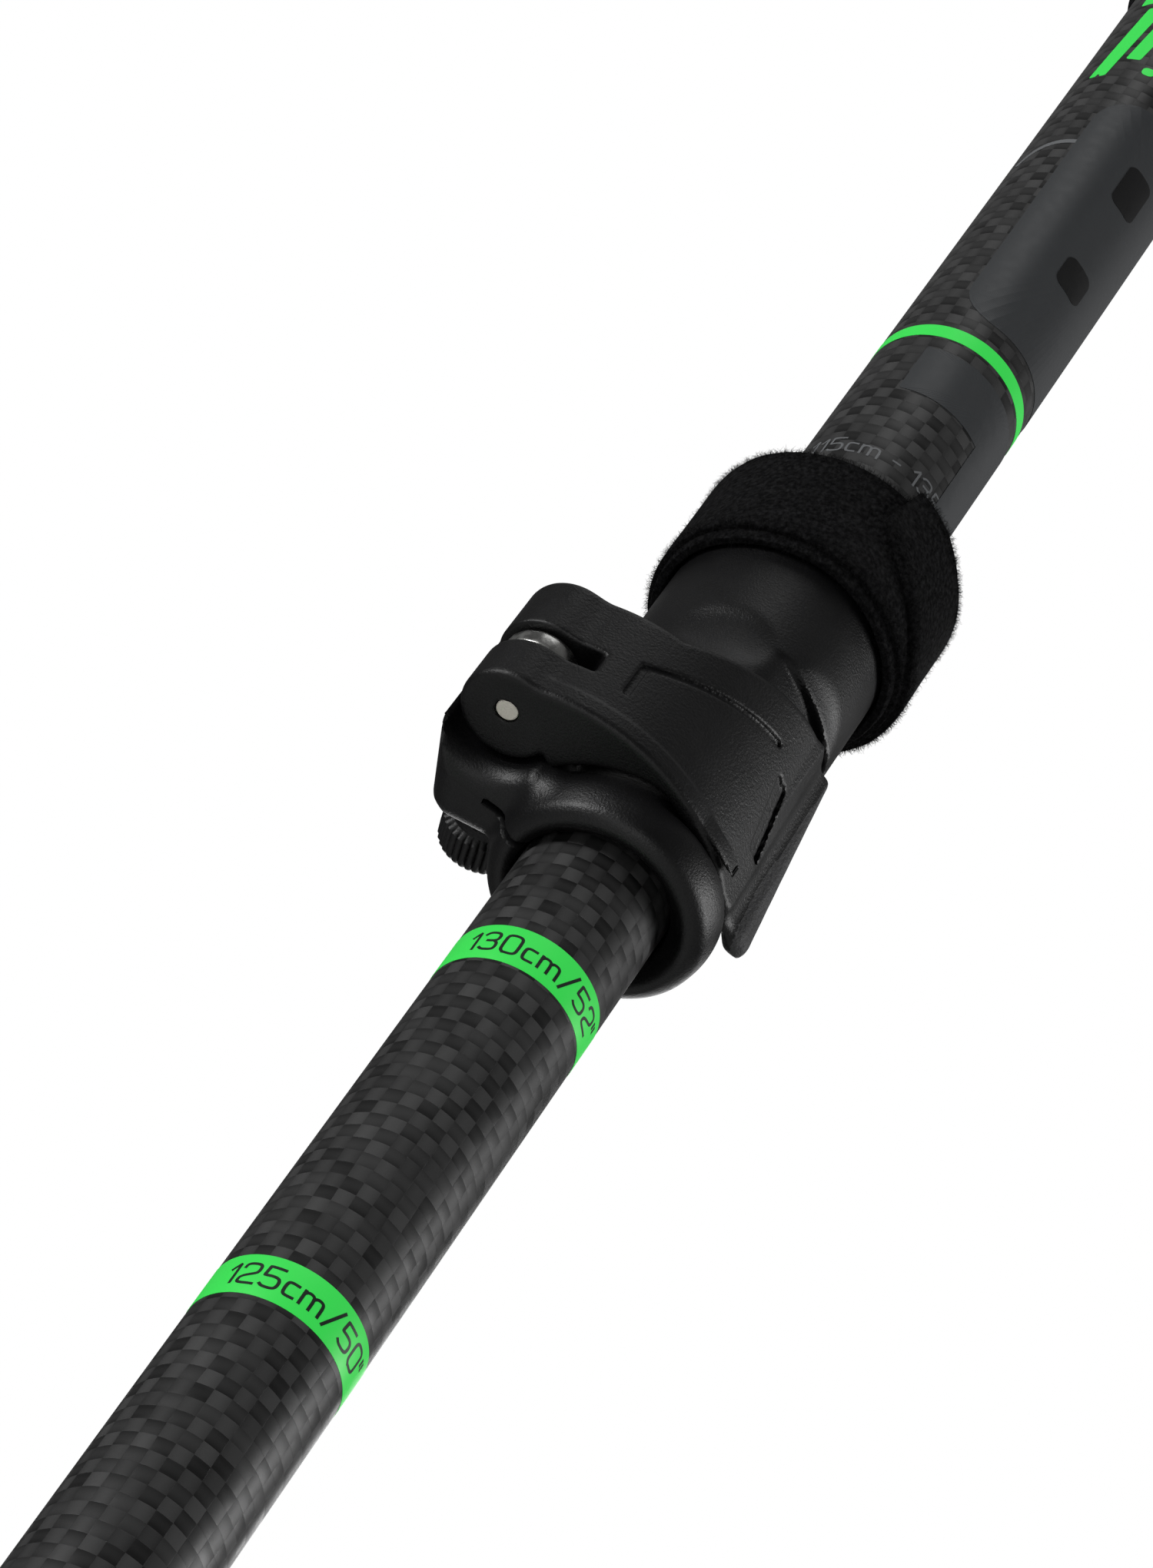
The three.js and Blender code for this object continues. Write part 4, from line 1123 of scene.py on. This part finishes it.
grip_radius = grip_r[None] - 0.45 * palm * (diamond < 0.16) - 0.25 * palm * (diamond < 0.3)
grip_grid = relief_grid(grip_a, grip_radius, grip_low + grip_z) * [1, 1.2, 1] - [0, 1, 0]
bore = ring_grid([(9.4, grip_low), (9.4, grip_high)], 300)
grip_grid = np.concatenate([bore[:, :1], grip_grid, bore[:, 1:]], 1)
piece("rubber_grip", grip_grid.reshape(-1, 3), ring_faces(300, grip_grid.shape[1]), rubber,
      "upper", "rubber", ["grip_body"])

# %% Head of the grip and its wedge
cap_low, cap_high = span("grip_cap")
head_outline = rounded([(0, cap_low), (17.6, cap_low), (19.2, cap_low + 5), (19.7, cap_low + 11),
                        (17.8, cap_low + 17.4), (13.5, cap_low + 21.8), (7, cap_low + 23.8),
                        (0, cap_high + 0.1), (-9, cap_high), (-9, cap_low), (0, cap_low)], 3.0, 6)[:-1]


def head_field(x, y, z):
    """An oval dome with a mouth for the strap, a well for the wedge and the pin's holes."""
    r = np.hypot(x, (y + 2) / 1.25)
    dome = smooth_max(outline_distance(r, z, head_outline), cap_low - z, 0.6)
    mouth = smooth_max(smooth_max(np.abs(x) - 10.8, y + 8.5, 1.0), slab(z, cap_low + 1.6, cap_low + 14.6),
                       1.0)
    well = np.maximum(np.maximum(np.abs(x) - 10.4, slab(y, -16.5, -8.5)), cap_low + 8 - z)
    pin = np.hypot(y + 13, z - 1296.5) - 1.7
    return smooth_max(smooth_max(np.maximum(dome, -pin), -mouth, 0.8), -well, 0.8)


head_points, head_faces = skin(head_field, (-21.3, -28.3, cap_low - 1.7), (21.5, 25.5, cap_high + 1.9), 0.55)
piece("grip_head", head_points, head_faces, nylon, "upper", "nylon", ["grip_cap"], weld=False)


def wedge_field(x, y, z):
    """A rounded block under the dome's line, with thumb ridges on top."""
    block = smooth_max(smooth_max(np.abs(x) - 10, slab(y, -16, -9), 0.8), 1301.5 - z, 0.6)
    r = np.hypot(x, (y + 2) / 1.25)
    ridges = 0.22 * np.cos(2 * np.pi * (y + 12.5) / 1.6)
    return smooth_max(block, outline_distance(r, z, head_outline) + 0.5 + ridges, 0.5)


wedge_points, wedge_faces = skin(wedge_field, (-11.2, -17.2, 1300.2), (11.4, -7.6, 1314.6), 0.4)
piece("head_wedge", wedge_points, wedge_faces, smooth_nylon, "strap_wedge", "nylon", ["strap_wedge"],
      weld=False)
print("head faces", len(head_faces), "wedge faces", len(wedge_faces))

# %% [markdown]
# ## Wrist strap
# One closed loop of woven webbing goes round the steel pin in the head and hangs as a hand loop. It
# is a flat section carried along a smooth closed route.

# %% Strap
STRAP_ROUTE = np.array([(-26.1, 1299.3), (-18, 1299.4), (-13.0, 1299.3), (-10.2, 1296.5), (-13.0, 1293.7),
                        (-18, 1293.6), (-26.1, 1293.7), (-29.2, 1290), (-29, 1282), (-27.5, 1250),
                        (-27, 1200), (-27.5, 1150), (-30, 1104), (-38, 1076), (-54, 1068), (-70, 1076),
                        (-76, 1100), (-69, 1146), (-56, 1206), (-44, 1262), (-35, 1290)])


def closed_curve(points, steps=16):
    """Catmull-Rom: each span leaves and enters along the line between its neighbours."""
    p0, p1, p2, p3 = [np.roll(points, k, axis=0)[:, None] for k in (1, 0, -1, -2)]
    t = np.linspace(0, 1, steps, endpoint=False)[None, :, None]
    square, cube = 2 * p0 - 5 * p1 + 4 * p2 - p3, 3 * p1 - p0 - 3 * p2 + p3
    curve = 0.5 * (2 * p1 + (p2 - p0) * t + square * t**2 + cube * t**3)
    return curve.reshape(-1, points.shape[1])


strap_line = closed_curve(STRAP_ROUTE)
heading = np.roll(strap_line, -1, axis=0) - np.roll(strap_line, 1, axis=0)
heading /= np.linalg.norm(heading, axis=1)[:, None]
level = np.stack([heading[:, 1], -heading[:, 0]], 1)
travelled = np.concatenate([[0], np.cumsum(np.linalg.norm(np.diff(strap_line, axis=0), axis=1))])
t = np.linspace(0, 2 * np.pi, 48, endpoint=False)
strap_x = 9.9 * np.sign(np.cos(t)) * np.abs(np.cos(t)) ** 0.25
strap_h = 0.85 * np.sign(np.sin(t)) * np.abs(np.sin(t)) ** 0.35 * (1 + 0.12 * (np.abs(strap_x) > 8.2))
strap_grid = np.stack([0 * strap_line[:, :1] + strap_x, strap_line[:, :1] + level[:, :1] * strap_h,
                       strap_line[:, 1:] + level[:, 1:] * strap_h], -1)
strap_uv = np.stack([0 * travelled[:, None] + strap_x / 0.8, travelled[:, None] / 0.9 + 0 * strap_x], -1)
strap_piece = piece("wrist_loop", strap_grid.reshape(-1, 3), grid_faces(len(strap_line), 48, True, True),
                    webbing, None, "webbing", ["strap_root", "wrist_strap"], strap_uv.reshape(-1, 2))
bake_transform(strap_piece)
print("strap length in mm", round(float(travelled[-1]), 1))

# %% [markdown]
# ## Tip and basket
# At the ground end a tapered nylon holder carries a carbide point and a snow basket, which a ring
# nut holds. The basket is a dished disc with six windows, made as a skin so that every rim is soft.

# %% Tip
turned("tip_taper", rounded([(2.7, 40), (2.7, 20), (4.7, 20), (5.4, 23), (7.2, 50), (7.2, 69), (8.0, 72.5),
                             (8.0, 100), (7.7, 100.6), (8.0, 101.2), (8.0, 110), (7.3, 112), (6.55, 112),
                             (6.55, 71), (2.7, 71), (2.7, 40)], 1.0, 5)[:-1], nylon, "third", hollow=True,
       slot="nylon", stands_for=["tip_holder"])
turned("carbide_point", rounded([(0, 0.7), (1.2, 0.0), (1.8, 0.1), (2.3, 1.7), (2.3, 9), (3.9, 11.2),
                                 (3.9, 19.7), (2.4, 19.7), (2.4, 46), (0, 46)], 0.35), carbide, "third", 64,
       slot="carbide", stands_for=["carbide_tip"])

# %% Basket and its ring nut
dish_outline = rounded([(7.7, 60), (7.7, 58), (11, 58), (13, 60.5), (40, 55.2), (42.2, 55.4), (42.4, 57.8),
                        (40.5, 58.4), (14, 63.6), (11.4, 68.5), (7.7, 68.5), (7.7, 60)], 1.0, 5)[:-1]


def basket_field(x, y, z):
    """The dish from its section, less six windows whose sides fan out, with ribs left between."""
    r = np.hypot(x, y)
    spoke = np.mod(np.degrees(np.arctan2(y, x)), 60) - 30
    dish = outline_distance(r, z, dish_outline)
    window = smooth_max(slab(r, 18.2, 35.8), np.radians(np.abs(spoke) - 12 - (r - 18) / 2) * r, 3.0)
    return smooth_max(dish, -window, 0.9)


dish_points, dish_faces = skin(basket_field, (-43.6, -43.6, 53.9), (43.9, 43.9, 69.9), 0.6)
piece("snow_basket", dish_points, dish_faces, nylon, "third", "nylon", ["basket"], weld=False)
ring_a = np.linspace(0, 2 * np.pi, 288, endpoint=False)
ring_loop = rounded([(7.5, 55), (7.5, 53), (10.2, 53), (10.2, 57.5), (7.5, 57.5), (7.5, 55)], 0.4, 4)[:-1]
ring_r = ring_loop[:, 0][None] - 0.35 * (ring_loop[:, 0] > 9.6)[None] * (np.cos(24 * ring_a) > 0.2)[:, None]
ring_points = relief_grid(ring_a, ring_r, ring_loop[:, 1])
piece("basket_ring_nut", ring_points.reshape(-1, 3), ring_faces(288, len(ring_loop)), nylon,
      "third", "nylon", ["basket_nut"])
print("basket faces", len(dish_faces))
